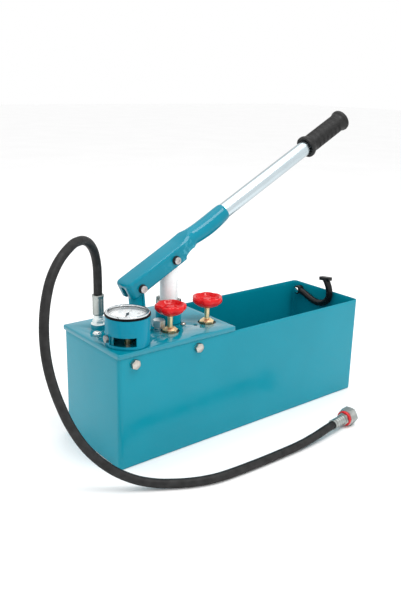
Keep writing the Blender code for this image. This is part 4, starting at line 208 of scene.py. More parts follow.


# Each look's material: name, colour, roughness and its spread, metallic, mottle and its scale, grain and its depth
# A rim below 1 is painted shade: the colour darkens towards the edges that turn away from the eye.
LOOKS = {
    "tank_paint": ("teal_paint_tank", (0.001, 0.252, 0.338), 0.2, 0.05, 0, 0.04, 9, 420, 4e-5, paint(0.24)),
    "lid_paint": ("teal_paint_lid", (0.001, 0.225, 0.305), 0.05, 0.02, 0, 0.03, 12, 300, 6e-6, paint()),
    # pump_paint is lighter than the other teals to lift the shade the lever casts on the link: painted light.
    "pump_paint": ("teal_paint_pump", (0.001, 0.32, 0.44), 0.22, 0.05, 0, 0.06, 30, 600, 3e-5, paint(0.12, 0.6)),
    "housing_paint": ("teal_paint_housing", (0.0, 0.222, 0.325), 0.15, 0.05, 0, 0.04, 25, 500, 2e-5, paint(0.13)),
    "lever_paint": ("teal_paint_lever", (0.0, 0.205, 0.292), 0.12, 0.04, 0, 0.05, 25, 500, 2e-5, paint(0.22)),
    "zinc_bolts": ("zinc_bolt", (0.56, 0.53, 0.48), 0.36, 0.08, 1, 0.15, 160, 900, 3e-5,
                   {"wear": (0.75, 0.73, 0.7), "rim": 0.35}),
    "zinc_fittings": ("zinc_fitting", (0.44, 0.47, 0.45), 0.38, 0.05, 1, 0.08, 90, 900, 2e-5,
                      {"wear": (0.86, 0.86, 0.85), "rim": 0.5}),
    "bright_screw": ("bright_nickel", (0.8, 0.8, 0.78), 0.16, 0.05, 1, 0.05, 90, 900, 2e-5, {}),
    "bright_zinc": ("bright_zinc", (0.84, 0.88, 0.87), 0.48, 0.05, 1, 0.06, 90, 900, 2e-5, {}),
    "dark_screw": ("dark_zinc_screw", (0.24, 0.25, 0.25), 0.34, 0.05, 1, 0.06, 120, 900, 2e-5, {}),
    "pivot_steel": ("pivot_steel", (0.5, 0.47, 0.46), 0.4, 0.06, 1, 0.2, 300, 900, 2e-5, {"rim": 0.35}),
    # Painted shade: this black stands in for the shadow and dark reflection round the bolt heads, and for the shade in
    # the lever's tail.
    "pivot_black": ("pivot_black", (0.012, 0.013, 0.015), 0.4, 0.08, 0, 0.2, 200, 900, 3e-5,
                    {"wear": (0.2, 0.2, 0.2), "specular": 0.2}),
    "black_steel": ("black_steel", (0.006, 0.006, 0.007), 0.25, 0.08, 0, 0.25, 70, 600, 8e-5,
                    {"wear": (0.1, 0.1, 0.1), "specular": 0.26}),
    # The manifold block is darkened to stand in for the shade seen through the lid's holes: painted shade.
    "cast_block": ("cast_block", (0.16, 0.16, 0.16), 0.55, 0.1, 1, 0.18, 90, 700, 3e-4, {}),
    "brass_parts": ("brass", (0.95, 0.73, 0.42), 0.38, 0.04, 1, 0.06, 60, 900, 1e-5, {"wear": (0.92, 0.76, 0.46)}),
    "steel_balls": ("steel", (0.52, 0.53, 0.54), 0.15, 0.04, 1, 0.05, 120, 900, 1e-5, {}),
    # The slight cyan tint offsets the red light the knobs throw on the plunger: painted light.
    "white_plastic": ("white_plastic", (0.88, 0.94, 0.94), 0.28, 0.05, 0, 0.02, 60, 700, 3e-5, {}),
    "red_knobs": ("red_plastic", (0.62, 0.006, 0.008), 0.16, 0.04, 0, 0.06, 60, 300, 1e-5, {"specular": 0.3}),
    "red_ring": ("red_ring", (0.6, 0.012, 0.016), 0.3, 0.06, 0, 0.08, 120, 700, 5e-5, {}),
    "seal_rubber": ("seal_rubber", (0.003, 0.003, 0.004), 0.5, 0.08, 0, 0.2, 120, 900, 6e-5, {"specular": 0.08}),
    "grip_rubber": ("grip_rubber", (0.02, 0.02, 0.02), 0.45, 0.1, 0, 0.25, 140, 1500, 1e-4,
                    {"rim": 0.3, "specular": 0.2}),
    "hose_rubber": ("hose_rubber", (0.026, 0.026, 0.026), 0.45, 0.07, 0, 0.25, 90, 900, 1.2e-4,
                    {"rim": 0.2, "specular": 0.12}),
    "gauge_steel": ("gauge_steel", (0.45, 0.46, 0.47), 0.35, 0.08, 1, 0.08, 90, 900, 3e-5, RINGS),
    "gauge_chrome": ("gauge_chrome", (0.72, 0.75, 0.76), 0.12, 0.02, 1, 0.03, 60, 500, 1e-5, {}),
    "gauge_dial": ("gauge_dial", (0.97, 0.97, 0.97), 0.45, 0.05, 0, 0.02, 90, 900, 2e-5, {}),
    "gauge_needle": ("gauge_needle", (0.012, 0.012, 0.013), 0.35, 0.06, 0, 0.2, 300, 900, 2e-5, {}),
    "gauge_glass": ("clear_glass", (0.93, 0.96, 0.96), 0.04, 0.01, 1, 0.01, 60, 200, 1e-5, {"alpha": 0.1}),
    "dial_marks": ("dial_marks", (0.22, 0.23, 0.22), 0.5, 0.06, 0, 0.2, 300, 900, 1e-5, {}),
    "tube_chrome": ("bright_zinc_tube", (0.6, 0.69, 0.73), 0.24, 0.05, 1, 0.03, 40, 700, 2e-5, {**RINGS, "rim": 0.62}),
    "floor": ("pale_floor", (0.97, 0.97, 0.97), 0.85, 0.03, 0, 0.01, 3, 40, 1e-4, {"specular": 0.2}),
}
MATERIALS = {look: finish(*values, **more) for look, (*values, more) in LOOKS.items()}


# Shapes

def polar(radius, angle, x=0.0, y=0.0):
    return x + radius * math.cos(angle), y + radius * math.sin(angle)


def arc(centre, radius, start, end, steps):
    return [polar(radius, start + (end - start) * i / steps, *centre) for i in range(steps + 1)]


def flat(outline, z):
    return [Vector((x, y, z)) for x, y in outline]


def rounding(steps, first=0):
    """The shares of an edge's radius, sideways and up, over the quarter turn that rounds the edge."""
    return [(1 - math.sin(QUARTER * k / steps), 1 - math.cos(QUARTER * k / steps)) for k in range(first, steps + 1)]


def loft(rings, closed=False):
    """A skin through rings of equal count. A ring of one point is a tip."""
    bm = bmesh.new()
    made = [[bm.verts.new(p) for p in ring] for ring in rings]
    pairs = list(zip(made, made[1:]))
    if closed:
        pairs.append((made[-1], made[0]))
    for first, second in pairs:
        count = max(len(first), len(second))
        for i in range(count if count > 1 else 0):
            j = (i + 1) % count
            if len(first) == 1:
                bm.faces.new((first[0], second[j], second[i]))
            elif len(second) == 1:
                bm.faces.new((first[i], first[j], second[0]))
            else:
                bm.faces.new((first[i], first[j], second[j], second[i]))
    if not closed:
        for end in (made[0], made[-1]):
            if len(end) > 2:
                bm.faces.new(end)
    bmesh.ops.recalc_face_normals(bm, faces=bm.faces)
    return bm


def softened(points, steps=4, closed=False):
    """The points, with each corner that has a third number, its cut-back, made round."""
    result = []
    count = len(points)
    for i, point in enumerate(points):
        back = point[2] if len(point) > 2 else 0.0
        here = Vector(point[:2])
        if back == 0.0 or (not closed and i in (0, count - 1)):
            result.append(tuple(here))
            continue
        before = Vector(points[i - 1][:2]) - here
        after = Vector(points[(i + 1) % count][:2]) - here
        back = min(back, 0.49 * before.length, 0.49 * after.length)
        for k in range(steps + 1):
            t = k / steps
            result.append(tuple(here + before.normalized() * back * (1 - t) ** 2 + after.normalized() * back * t**2))
    return result


def spun(points, sides, closed=False, shape=None):
    """A turned body on the Z axis from (radius, height) points. shape gives the radius at an angle."""
    rings = []
    for radius, height in points:
        if radius < 1e-6:
            rings.append([Vector((0.0, 0.0, height))])
            continue
        ring = []
        for i in range(sides):
            angle = TAU * i / sides
            ring.append(polar(shape(radius, height, angle) if shape else radius, angle))
        rings.append(flat(ring, height))
    return loft(rings, closed)


def lathe(profile, sides=64, closed=False):
    """A turned body on the Z axis from (radius, height[, rounding]) points."""
    return spun(softened(profile, 4, closed), sides, closed)


def cylinder(radius, low, high, sides, edge=0.0, bore=0.0):
    """A round body, or a tube if it has a bore. edge rounds its outer edges."""
    return lathe([(bore, low), (radius, low, edge), (radius, high, edge), (bore, high)], sides, bore > 0)


def rod(points, radius, sides):
    """A round rod along a line of points, without twist."""
    points = [Vector(p) for p in points]
    rings = []
    side = None
    for i, point in enumerate(points):
        ahead = points[min(i + 1, len(points) - 1)] - points[max(i - 1, 0)]
        ahead.normalize()
        if side is None:
            side = ahead.orthogonal().normalized()
        side = (side - ahead * side.dot(ahead)).normalized()
        other = ahead.cross(side)
        rings.append([point + (side * math.cos(TAU * k / sides) + other * math.sin(TAU * k / sides)) * radius
                      for k in range(sides)])
    return loft(rings)


def offset(points, distance):
    """The closed outline moved inwards by distance (counter-clockwise points)."""
    result = []
    count = len(points)
    for i in range(count):
        here = Vector(points[i])
        before = (here - Vector(points[i - 1])).normalized()
        after = (Vector(points[(i + 1) % count]) - here).normalized()
        normal = Vector((-before.y - after.y, before.x + after.x))
        if normal.length < 1e-9:
            normal = Vector((-after.y, after.x))
        normal.normalize()
        share = max(0.4, normal.dot(Vector((-after.y, after.x))))
        result.append(tuple(here + normal * distance / share))
    return result


def rounded_rectangle(half_x, half_y, radius, per_corner=6, centre=(0.0, 0.0)):
    points = []
    for k, (sx, sy) in enumerate(((1, 1), (-1, 1), (-1, -1), (1, -1))):
        corner = (centre[0] + sx * (half_x - radius), centre[1] + sy * (half_y - radius))
        points += arc(corner, radius, k * QUARTER, (k + 1) * QUARTER, per_corner)
    return points


def prism(outline, low, high, edge=0.0005, steps=3):
    """An outline between two heights, with rounded edges."""
    shares = rounding(steps)
    rings = [flat(offset(outline, edge * inset), low + edge * rise) for inset, rise in shares]
    rings += [flat(offset(outline, edge * inset), high - edge * rise) for inset, rise in reversed(shares)]
    return loft(rings)


def hexagon_points(flats, corner=0.0008, per_flat=8):
    """A hexagon with slightly rounded corners and points along its flats."""
    reach = flats / math.sqrt(3)
    per_corner = 4
    rounded = softened([(*polar(reach, TAU * (k + 0.5) / 6), corner) for k in range(6)], per_corner, True)
    result = []
    for k in range(0, len(rounded), per_corner + 1):
        result += rounded[k : k + per_corner + 1]
        last = Vector(result[-1])
        following = Vector(rounded[(k + per_corner + 1) % len(rounded)])
        result += [tuple(last.lerp(following, i / per_flat)) for i in range(1, per_flat)]
    return result


def hex_body(flats, height, bore=0.0, foot=False, dome=0.0):
    """A hexagon head or nut with a turned chamfer, and one at its foot if foot is set."""
    points = flat(hexagon_points(flats), 0.0)
    face = flats / 2 * 0.965
    slope = math.tan(math.radians(30))

    def corners(level, fall):
        return [Vector((p.x, p.y, level - max(0.0, p.length - face) * fall)) for p in points]

    def ring(radius, level):
        return [p.normalized() * radius + UP * level for p in points]

    rings = [ring(bore, height / 2), ring(bore, 0.0)] if bore else [[UP * 0.0]]
    if foot:
        rings.append(ring(face, 0.0))
    rings += [corners(0.0, -slope if foot else 0.0), corners(height, slope)]
    rings += [ring(face, height), ring(face * 0.97, height + dome * 0.06)]
    if dome:
        rings += [ring(face * share, height + dome * (1 - share**2)) for share in (0.8, 0.6, 0.4, 0.2)]
    if bore:
        rings += [ring(bore * 1.08, height), ring(bore, height - bore * 0.08)]
        return loft(rings, True)
    return loft([*rings, [UP * (height + dome)]])


def joined(*bodies):
    """Several closed bodies in one mesh."""
    bm = bodies[0]
    for other in bodies[1:]:
        mesh = bpy.data.meshes.new("part")
        other.to_mesh(mesh)
        other.free()
        bm.from_mesh(mesh)
        bpy.data.meshes.remove(mesh)
    return bm


def at(x, y, z):
    return Matrix.Translation((x, y, z))


def turn(axis, degrees):
    return Matrix.Rotation(math.radians(degrees), 4, axis)


def moved(bm, matrix):
    bmesh.ops.transform(bm, matrix=matrix, verts=bm.verts)
    return bm


def cube(x, y, z):
    bm = bmesh.new()
    bmesh.ops.create_cube(bm, size=1.0)
    bmesh.ops.scale(bm, vec=(x, y, z), verts=bm.verts)
    return bm


def block(low, high):
    """A box between two corners."""
    return moved(cube(*[b - a for a, b in zip(low, high)]), at(*[(a + b) / 2 for a, b in zip(low, high)]))


def linked(obj):
    bpy.context.scene.collection.objects.link(obj)
    return obj


def mesh_object(name, bm):
    mesh = bpy.data.meshes.new(name)
    bm.to_mesh(mesh)
    bm.free()
    return linked(bpy.data.objects.new(name, mesh))


def combine(bm, *others, operation="DIFFERENCE", bevel=None):
    """The body cut by or joined to others with exact booleans.
    bevel is the width, the segments and the angle from which its sharp edges are then rounded."""
    helpers = [mesh_object("work", bm)]
    modifiers = helpers[0].modifiers
    for other in others:
        helpers.append(mesh_object("tool", other))
        modifier = modifiers.new("combine", "BOOLEAN")
        modifier.operation = operation
        modifier.solver = "EXACT"
        modifier.object = helpers[-1]
    if bevel:
        modifier = modifiers.new("edges", "BEVEL")
        modifier.width, modifier.segments = bevel[:2]
        modifier.limit_method = "ANGLE"
        modifier.angle_limit = math.radians(bevel[2])
    bpy.context.view_layer.update()
    graph = bpy.context.evaluated_depsgraph_get()
    result = bmesh.new()
    result.from_mesh(helpers[0].evaluated_get(graph).to_mesh())
    for item in helpers:
        data = item.data
        bpy.data.objects.remove(item)
        bpy.data.meshes.remove(data)
    return result


def piece(name, bm, look, place=None, nodes=None, body="pump_frame"):
    """One piece of the scene. Unless nodes says what it replaces, that is the node that its name begins with:
    the name without its last word."""
    if nodes is None:
        nodes = [name.rsplit("_", 1)[0]]
    obj = mesh_object(name, bm)
    mesh = obj.data
    mesh.shade_smooth()
    mesh.set_sharp_from_angle(angle=math.radians(38))
    mesh.materials.append(MATERIALS[look])
    if place is not None:
        obj.matrix_world = place
    if body:
        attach(obj, body)
    if nodes:
        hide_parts(*nodes)
    return obj


ALONG_X = turn("Y", 90)
ALONG_MINUS_Y = turn("X", 90)
ALONG_Y = turn("X", -90)
LEVER_FRAME = Matrix.Translation(LEVER_PIVOT) @ turn("Y", -LEVER_TURN)
LINK_FRAME = Matrix.Translation(LINK_BASE) @ turn("Y", LINK_TURN)


def smooth_route(points, step):
    """Evenly spaced points on a Catmull-Rom curve through the route's own points, and the curve's length."""
    knots = [Vector(p) for p in points]
    padded = [knots[0] * 2 - knots[1], *knots, knots[-1] * 2 - knots[-2]]
    fine = 12
    dense = []
    for i in range(1, len(padded) - 2):
        a, b, c, d = padded[i - 1 : i + 3]
        for k in range(fine):
            t = k / fine
            curve = (c - a) * t + (a * 2 - b * 5 + c * 4 - d) * t**2 + (b * 3 - a - c * 3 + d) * t**3
            dense.append(b + curve / 2)
    dense.append(knots[-1])
    lengths = [0.0]
    for p, q in zip(dense, dense[1:]):
        lengths.append(lengths[-1] + (q - p).length)
    count = round(lengths[-1] / step)
    result = []
    k = 0
    for i in range(count + 1):
        target = lengths[-1] * i / count
        while k < len(lengths) - 2 and lengths[k + 1] < target:
            k += 1
        part = (target - lengths[k]) / (lengths[k + 1] - lengths[k])
        result.append(dense[k].lerp(dense[k + 1], part))
    return result, lengths[-1]


# Camera

def make_camera():
    data = bpy.data.cameras.new("camera")
    data.sensor_width = 36.0
    data.lens = CAMERA_LENS
    data.clip_start = 0.01
    data.clip_end = 100.0
    camera = linked(bpy.data.objects.new("camera", data))
    camera.location = CAMERA_PLACE
    camera.rotation_euler = [math.radians(a) for a in CAMERA_TURN]
    bpy.context.scene.camera = camera


# Hose

def ferrule(length, flare, depth, radius=0.008):
    """A crimped sleeve from its fitting end at 0 to the hose end."""
    crimps = 5
    margin = 0.004
    pitch = (length - 2 * margin) / crimps
    profile = [(0.0045, 0.0), (radius - 0.0002, 0.0, 0.0004), (radius, 0.0006), (radius, margin)]
    for i in range(crimps):
        for share, sunk in ((0.08, 0.0), (0.22, depth), (0.8, depth), (0.94, 0.0)):
            profile.append((radius - sunk, margin + pitch * i + pitch * share, 0.0004))
    profile += [(radius + flare, length - margin * 0.5, 0.0005), (radius + flare, length, 0.0005),
                (0.0064, length, 0.0004), (0.0064, length - 0.0012), (0.0, length - 0.0012)]
    return lathe(profile, 48)


def make_hose():
    route, length = smooth_route(HOSE_ROUTE, HOSE_STEP)
    hose = piece("hose_cover", rod(route, HOSE_RADIUS, 28), "hose_rubber")
    x, y, z = HOSE_ROUTE[0]

    seat = LID_TOP + 0.0065 + 0.0003
    washer_top = seat + 0.003
    low = BLOCK_TOP - 0.012
    lower = [(0.0, low), (0.0062, low), (0.0062, seat + 0.0016), (0.0113, seat + 0.0016, 0.0005),
             (0.0113, washer_top, 0.0005), (0.0, washer_top)]
    hexagon = moved(hex_body(0.0162, 0.0056), at(0, 0, washer_top - 0.0001) @ turn("Z", 12))
    collar = [(0.0, washer_top + 0.005), (0.0078, washer_top + 0.005), (0.0078, washer_top + 0.008, 0.0004),
              (0.0072, washer_top + 0.0086, 0.0003), (0.0072, washer_top + 0.013, 0.0004), (0.0, washer_top + 0.013)]
    adapter = joined(lathe(lower, 56), hexagon, lathe(collar, 48))
    piece("hose_adapter_body", adapter, "bright_zinc", at(x, y, 0.0))
    bottom = seat + 0.017
    sleeve = ferrule(z - 0.0003 - bottom, 0.0005, 0.0001, 0.0084)
    piece("pump_ferrule_sleeve", sleeve, "zinc_fittings", at(x, y, bottom))

    outward = at(*HOSE_ROUTE[-1]) @ turn("Z", HOSE_END_TURN) @ ALONG_X
    inward = outward @ at(0, 0, 0.0363) @ turn("X", 180)
    end_sleeve = piece("end_ferrule_sleeve", ferrule(0.036, 0.0003, 0.0004), "zinc_fittings", inward)
    ring = mm((8.3, 32.5, 0.4), (11.8, 32.5, 0.8), (12.5, 33.4, 0.6), (12.5, 35.8, 0.6), (11.6, 36.7, 0.8),
              (8.3, 36.7, 0.4))
    seal = piece("seal_ring_body", lathe(ring, 64, True), "red_ring", outward)
    tail = mm((0, 21.6), (4, 21.6), (4, 36.6), (5, 36.6), (5, 40.3), (9, 40.3, 0.4), (9, 43.3, 0.5), (5, 45, 0.4),
              (3.2, 45, 0.3), (3, 35), (0, 35))
    flange = moved(hex_body(0.0188, 0.0034, foot=True), at(0, 0, 0.029) @ turn("Z", HOSE_FLANGE_TWIST))
    hose_tail = piece("hose_tail_nipple", joined(lathe(tail, 48), flange), "zinc_fittings", outward)
    mouth = lathe(mm((0, 3), (10.2, 3), (10.2, 15, 0.4), (11.6, 16.2), (0, 16.2)), 64)
    nut = combine(hex_body(0.027, 0.016, foot=True), mouth, cylinder(0.0053, -0.001, 0.004, 48))
    threads = []
    for i in range(6):
        low = 0.0038 + i * 0.0018
        threads.append(lathe([(0.01025, low, 0.0), (0.0096, low + 0.0009), (0.01025, low + 0.0018)], 64, True))
    swivel = piece("swivel_nut_body", joined(nut, *threads), "zinc_fittings", outward @ at(0, 0, 0.037), body="swivel")


# Tank and lid

def make_tank():
    half_x, half_y = TANK_LENGTH / 2, TANK_WIDTH / 2
    side = TANK_HEIGHT - TANK_FOOT - 0.001
    lip, inner = TANK_SHEET / 2, TANK_FOOT - 0.0005
    levels = [(TANK_FOOT * inset, TANK_FOOT * rise) for inset, rise in rounding(5)]
    levels += [(0.0, TANK_FOOT + side * k / 24) for k in range(1, 24)]
    levels += [(lip - lip * math.cos(math.pi * k / 4), TANK_HEIGHT - lip + lip * math.sin(math.pi * k / 4))
               for k in range(5)]
    levels += [(TANK_SHEET, TANK_HEIGHT - lip - side * k / 24) for k in range(1, 24)]
    levels += [(TANK_SHEET + inner * rise, TANK_SHEET + inner * inset) for inset, rise in rounding(5)]
    rings = [flat(rounded_rectangle(half_x - inset, half_y - inset, TANK_CORNER - inset, 8), z) for inset, z in levels]
    middle = rounded_rectangle(half_x - 0.02, half_y - 0.02, 0.002, 8)
    piece("tank_walls", loft([flat(middle, 0.0), *rings, flat(middle, TANK_SHEET)]), "tank_paint", nodes=["tank_shell"])


def make_lid_sheet():
    """A folded tray: a flat top with softly edged holes, its folded rim and the rim's lower edge."""
    bm = bmesh.new()
    edge = 0.0004
    under = LID_TOP - LID_SHEET

    def ring(points, z):
        return [bm.verts.new((x, y, z)) for x, y in points]

    def border(points, z, edges):
        verts = ring(points, z)
        edges += [bm.edges.new((verts[i], verts[(i + 1) % len(verts)])) for i in range(len(verts))]
        return verts

    def skin(*rings):
        for first, second in zip(rings, rings[1:]):
            for i in range(len(first)):
                j = (i + 1) % len(first)
                bm.faces.new((first[i], first[j], second[j], second[i]))

    def outline(inset):
        centre = ((LID_LEFT + LID_RIGHT) / 2, 0.0)
        return rounded_rectangle((LID_RIGHT - LID_LEFT) / 2 - inset, LID_HALF - inset,
                                 max(LID_CORNER - inset, 0.0004), 8, centre)

    upper_edges, lower_edges = [], []
    upper_border = border(outline(LID_FOLD), LID_TOP, upper_edges)
    lower_border = border(outline(LID_FOLD), under, lower_edges)
    for x, y, radius in LID_HOLES:
        def circle(share):
            return [polar(radius + edge * share, TAU * i / 56, x, y) for i in range(56)]

        upper = border(circle(1), LID_TOP, upper_edges)
        lower = border(circle(1), under, lower_edges)
        skin(upper, ring(circle(0.3), LID_TOP - edge * 0.3), ring(circle(0), LID_TOP - edge),
             ring(circle(0), under + edge), lower)
    bmesh.ops.triangle_fill(bm, use_beauty=True, edges=upper_edges)
    bmesh.ops.triangle_fill(bm, use_beauty=True, edges=lower_edges)

    levels = [(LID_FOLD * inset, LID_TOP - LID_FOLD * rise) for inset, rise in rounding(5, 1)]
    levels += [(0.0, LID_BOTTOM + 0.0006), (0.0002, LID_BOTTOM + 0.0002), (0.0007, LID_BOTTOM), (0.0013, LID_BOTTOM),
               (0.0018, LID_BOTTOM + 0.0002), (LID_SHEET, LID_BOTTOM + 0.0006), (LID_SHEET, under - 0.0004)]
    skin(upper_border, *[ring(outline(inset), z) for inset, z in levels], lower_border)
    bmesh.ops.recalc_face_normals(bm, faces=bm.faces)
    piece("lid_sheet", bm, "lid_paint", nodes=["lid_plate"])


def make_lid():
    make_lid_sheet()
    boss_top = 0.1864
    boss = [(0.0065, LID_TOP), (0.0122, LID_TOP, 0.0004), (0.0114, LID_TOP + 0.0008, 0.0006),
            (0.011, LID_TOP + 0.0016, 0.0004), (0.011, boss_top, 0.0007), (0.0065, boss_top, 0.0003)]
    piece("hose_boss", lathe(boss, 64, True), "lid_paint", at(*HOSE_FOOT, 0.0), [])
    middle, flange_z = -0.168, 0.1633
    for side, name in ((-1, "front"), (1, "back")):
        flange = prism(rounded_rectangle(0.07, 0.014, 0.003, 4), 0.0, 0.002, 0.0004)
        nuts = [moved(hex_body(M8_FLATS, M8_NUT, bore=0.0042), at(x - middle, side * (LID_BOLT_Z - flange_z), 0.0019))
                for x in LID_BOLT_X.values()]
        place = at(middle, side * 0.0762, flange_z) @ turn("X", 90 * side)
        piece(f"lid_flange_{name}", joined(flange, *nuts), "lid_paint", place, [])
        for end, twist in (("left", 8), ("right", 21)):
            head = moved(hex_body(M8_FLATS, 0.0053, dome=0.0012), turn("Z", twist))
            shank = mm((0, -16), (3.2, -16), (4, -15), (4, 0.5), (0, 0.5))
            bolt = joined(head, cylinder(0.0062, 0.0, 0.0004, 40), lathe(shank, 32))
            place = at(LID_BOLT_X[end], side * 0.0783, LID_BOLT_Z) @ turn("X", -90 * side)
            piece(f"lid_bolt_{name}_{end}_head", bolt, "zinc_bolts", place)
    tab = prism(rounded_rectangle(0.0015, 0.007, 0.0003, 3), 0.0, 0.018, 0.0004)
    x, y = polar(0.0274, math.radians(GAUGE_SLOT_TURN), *GAUGE)
    piece("gauge_tab", tab, "lid_paint", at(x, y, LID_TOP) @ turn("Z", GAUGE_SLOT_TURN), [])


def pan_screw():
    """A pan-head screw with a cross slot."""
    head = lathe(mm((0, -12), (2.5, -12), (2.5, 0), (4.2, 0, 0.3), (4.2, 1.2, 0.6), (3, 2.7, 0.8), (0, 3)), 40)
    slots = [moved(cube(0.0052, 0.0009, 0.003), at(0, 0, 0.0034) @ turn("Z", angle)) for angle in (20, 110)]
    return combine(head, *slots)


def make_lid_screws():
    piece("block_screw_head", pan_screw(), "zinc_bolts", at(*PAN_SCREW, SEAT))
    for end, x in BRACKET_SCREWS.items():
        piece(f"bracket_screw_{end}_head", pan_screw(), "zinc_bolts", at(x, 0.0, 0.1826))
    dome = [(0.0, 0.003), (0.0056, 0.003)]
    dome += [(0.0056 * math.cos(QUARTER * k / 8), 0.0034 + 0.003 * math.sin(QUARTER * k / 8)) for k in range(8)]
    dome = lathe([*dome, (0.0, 0.0064)], 48)
    screw = joined(hex_body(0.0115, 0.0034), dome, cylinder(0.003, -0.014, 0.0005, 24))
    piece("block_dome_screw_head", screw, "bright_screw", at(*DOME_SCREW, SEAT))


# Pump

def make_pump():
    place = at(PUMP_X, 0.0, 0.0)
    head = lathe([(0.0146, 0.1773), (0.0175, 0.1773), (0.0175, SEAT), (0.02, SEAT, 0.0005),
                  (0.02, 0.2051, 0.0012), (0.0178, 0.2051, 0.0003), (0.0178, 0.1975), (0.0146, 0.1975)], 80, True)
    piece("pump_head_body", head, "pump_paint", place)
    ring = lathe(mm((14.6, 201), (17.2, 201), (17.2, 205.4), (17.8, 205.4, 0.4), (17.8, 213.9, 0.6),
                    (15.8, 213.9, 0.5), (14.6, 212.8, 0.4)), 80, True)
    lug = rounded_rectangle(0.0022, 0.004, 0.0006, 3)
    lugs = [moved(prism(lug, 0.2057, 0.2167), turn("Z", 30 + 90 * k) @ at(0.0176, 0, 0)) for k in range(4)]
    piece("gland_nut_body", joined(ring, *lugs), "zinc_fittings", place)

    radius, bottom, top = 0.014, PISTON_Z - 0.17, PISTON_Z - 0.006
    plunger = [(0.0, bottom), (radius, bottom, 0.0012), *arc((0.0, top), radius, 0.0, QUARTER, 9)]
    plunger[-1] = (0.0, top + radius)
    # The slanting eye that the piston bolt runs in
    reach_x, reach_z, lead, eye_radius = -0.0046, -0.0034, 0.0005, 0.0046
    along = math.atan2(reach_z, reach_x)
    eye = arc((reach_x, reach_z), eye_radius, along - QUARTER, along + QUARTER, 12)
    eye += arc(polar(-lead, along), eye_radius, along + QUARTER, along + 3 * QUARTER, 12)
    eye = moved(prism(eye, -0.02, 0.02, 0.0001, 1), at(0, 0, PISTON_Z) @ ALONG_MINUS_Y)
    piece("plunger_rod", combine(lathe(plunger, 72), eye), "white_plastic", place, body="piston")

    plug = moved(hex_body(0.017, 0.0125, dome=0.0004), turn("Z", 36))
    collar = lathe(mm((0, 0), (9.2, 0, 0.2), (9.2, 1, 0.3), (0, 1)), 56)
    plug = joined(plug, cylinder(0.0062, -0.0055, 0.0005, 40), collar)
    piece("delivery_plug_body", plug, "bright_zinc", at(*PLUG, SEAT))


def make_delivery_spring():
    """The coil over the delivery ball."""
    wire, radius, turns, points = 0.0004, 0.0034, 4, 16
    low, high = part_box("delivery_spring")
    x, y = (low[0] + high[0]) / 2, (low[1] + high[1]) / 2
    bottom, top = low[2] + wire, high[2] - wire
    count = turns * points
    coil = [(*polar(radius, TAU * i / points, x, y), bottom + (top - bottom) * i / count) for i in range(count + 1)]
    spring = piece("delivery_spring_coil", rod(coil, wire, 10), "steel_balls", body=None)
    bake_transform(spring)


def knob_body():
    """A dished hand knob: rings whose radius dips in at each flute."""
    profile = mm((0, 9), (4.4, 9), (4.4, -1.2), (6.4, -1.2, 0.6), (7.6, 0), (12, 1.4), (16.2, 3.4), (19.8, 6),
                 (22.4, 8.2), (23.8, 10.4), (24.2, 12.8), (23.8, 15.2), (22.8, 16.8), (21.4, 17.4), (20, 17.1),
                 (18.6, 15.8), (17.2, 13.8), (15.4, 12.2), (13, 11.4), (9, 11.2), (7.2, 11.4, 0.5), (6, 13.8, 0.8),
                 (0, 14.2))

    def fluted(radius, height, angle):
        dip = 0.0024 * (0.5 + 0.5 * math.cos(6 * angle)) ** 2.2
        return radius - dip * max(0.0, min(1.0, (radius - 0.014) / 0.008))

    return spun(softened(profile, 3), 144, shape=fluted)


def make_valves():
    for name, x in VALVES.items():
        cone = lathe(mm((4.4, 4.8), (10, 4.8), (9.8, 5.2, 0.5), (6.6, 7.8, 0.6), (5.6, 8.3, 0.4),
                        (4.4, 8.3, 0.2)), 56, True)
        thread = cylinder(0.008, -0.01, 0.0003, 40, bore=0.0044)
        gland = joined(moved(hex_body(0.021, 0.0049), turn("Z", 11)), cone, thread)
        piece(f"{name}_gland_body", gland, "brass_parts", at(x, VALVE_Y, BLOCK_TOP + 0.0003))
        low = BLOCK_TOP - 0.014
        stem = [(0.0, low), (0.0036, low + 0.003), (0.0041, low + 0.004), (0.0041, 0.185, 0.0003),
                (0.0038, 0.1853, 0.0002), (0.0038, 0.199, 0.0003), (0.0041, 0.1996, 0.0003), (0.0041, 0.2148),
                (0.0, 0.2148)]
        piece(f"{name}_spindle", lathe(stem, 40), "brass_parts", at(x, VALVE_Y, 0.0), [f"{name}_stem"], name)
        place = at(x, VALVE_Y, SEAT + 0.0245) @ turn("Z", 6 if name == "test_valve" else 22)
        piece(f"{name}_hand_knob", knob_body(), "red_knobs", place, [f"{name}_knob"], name)


# Gauge

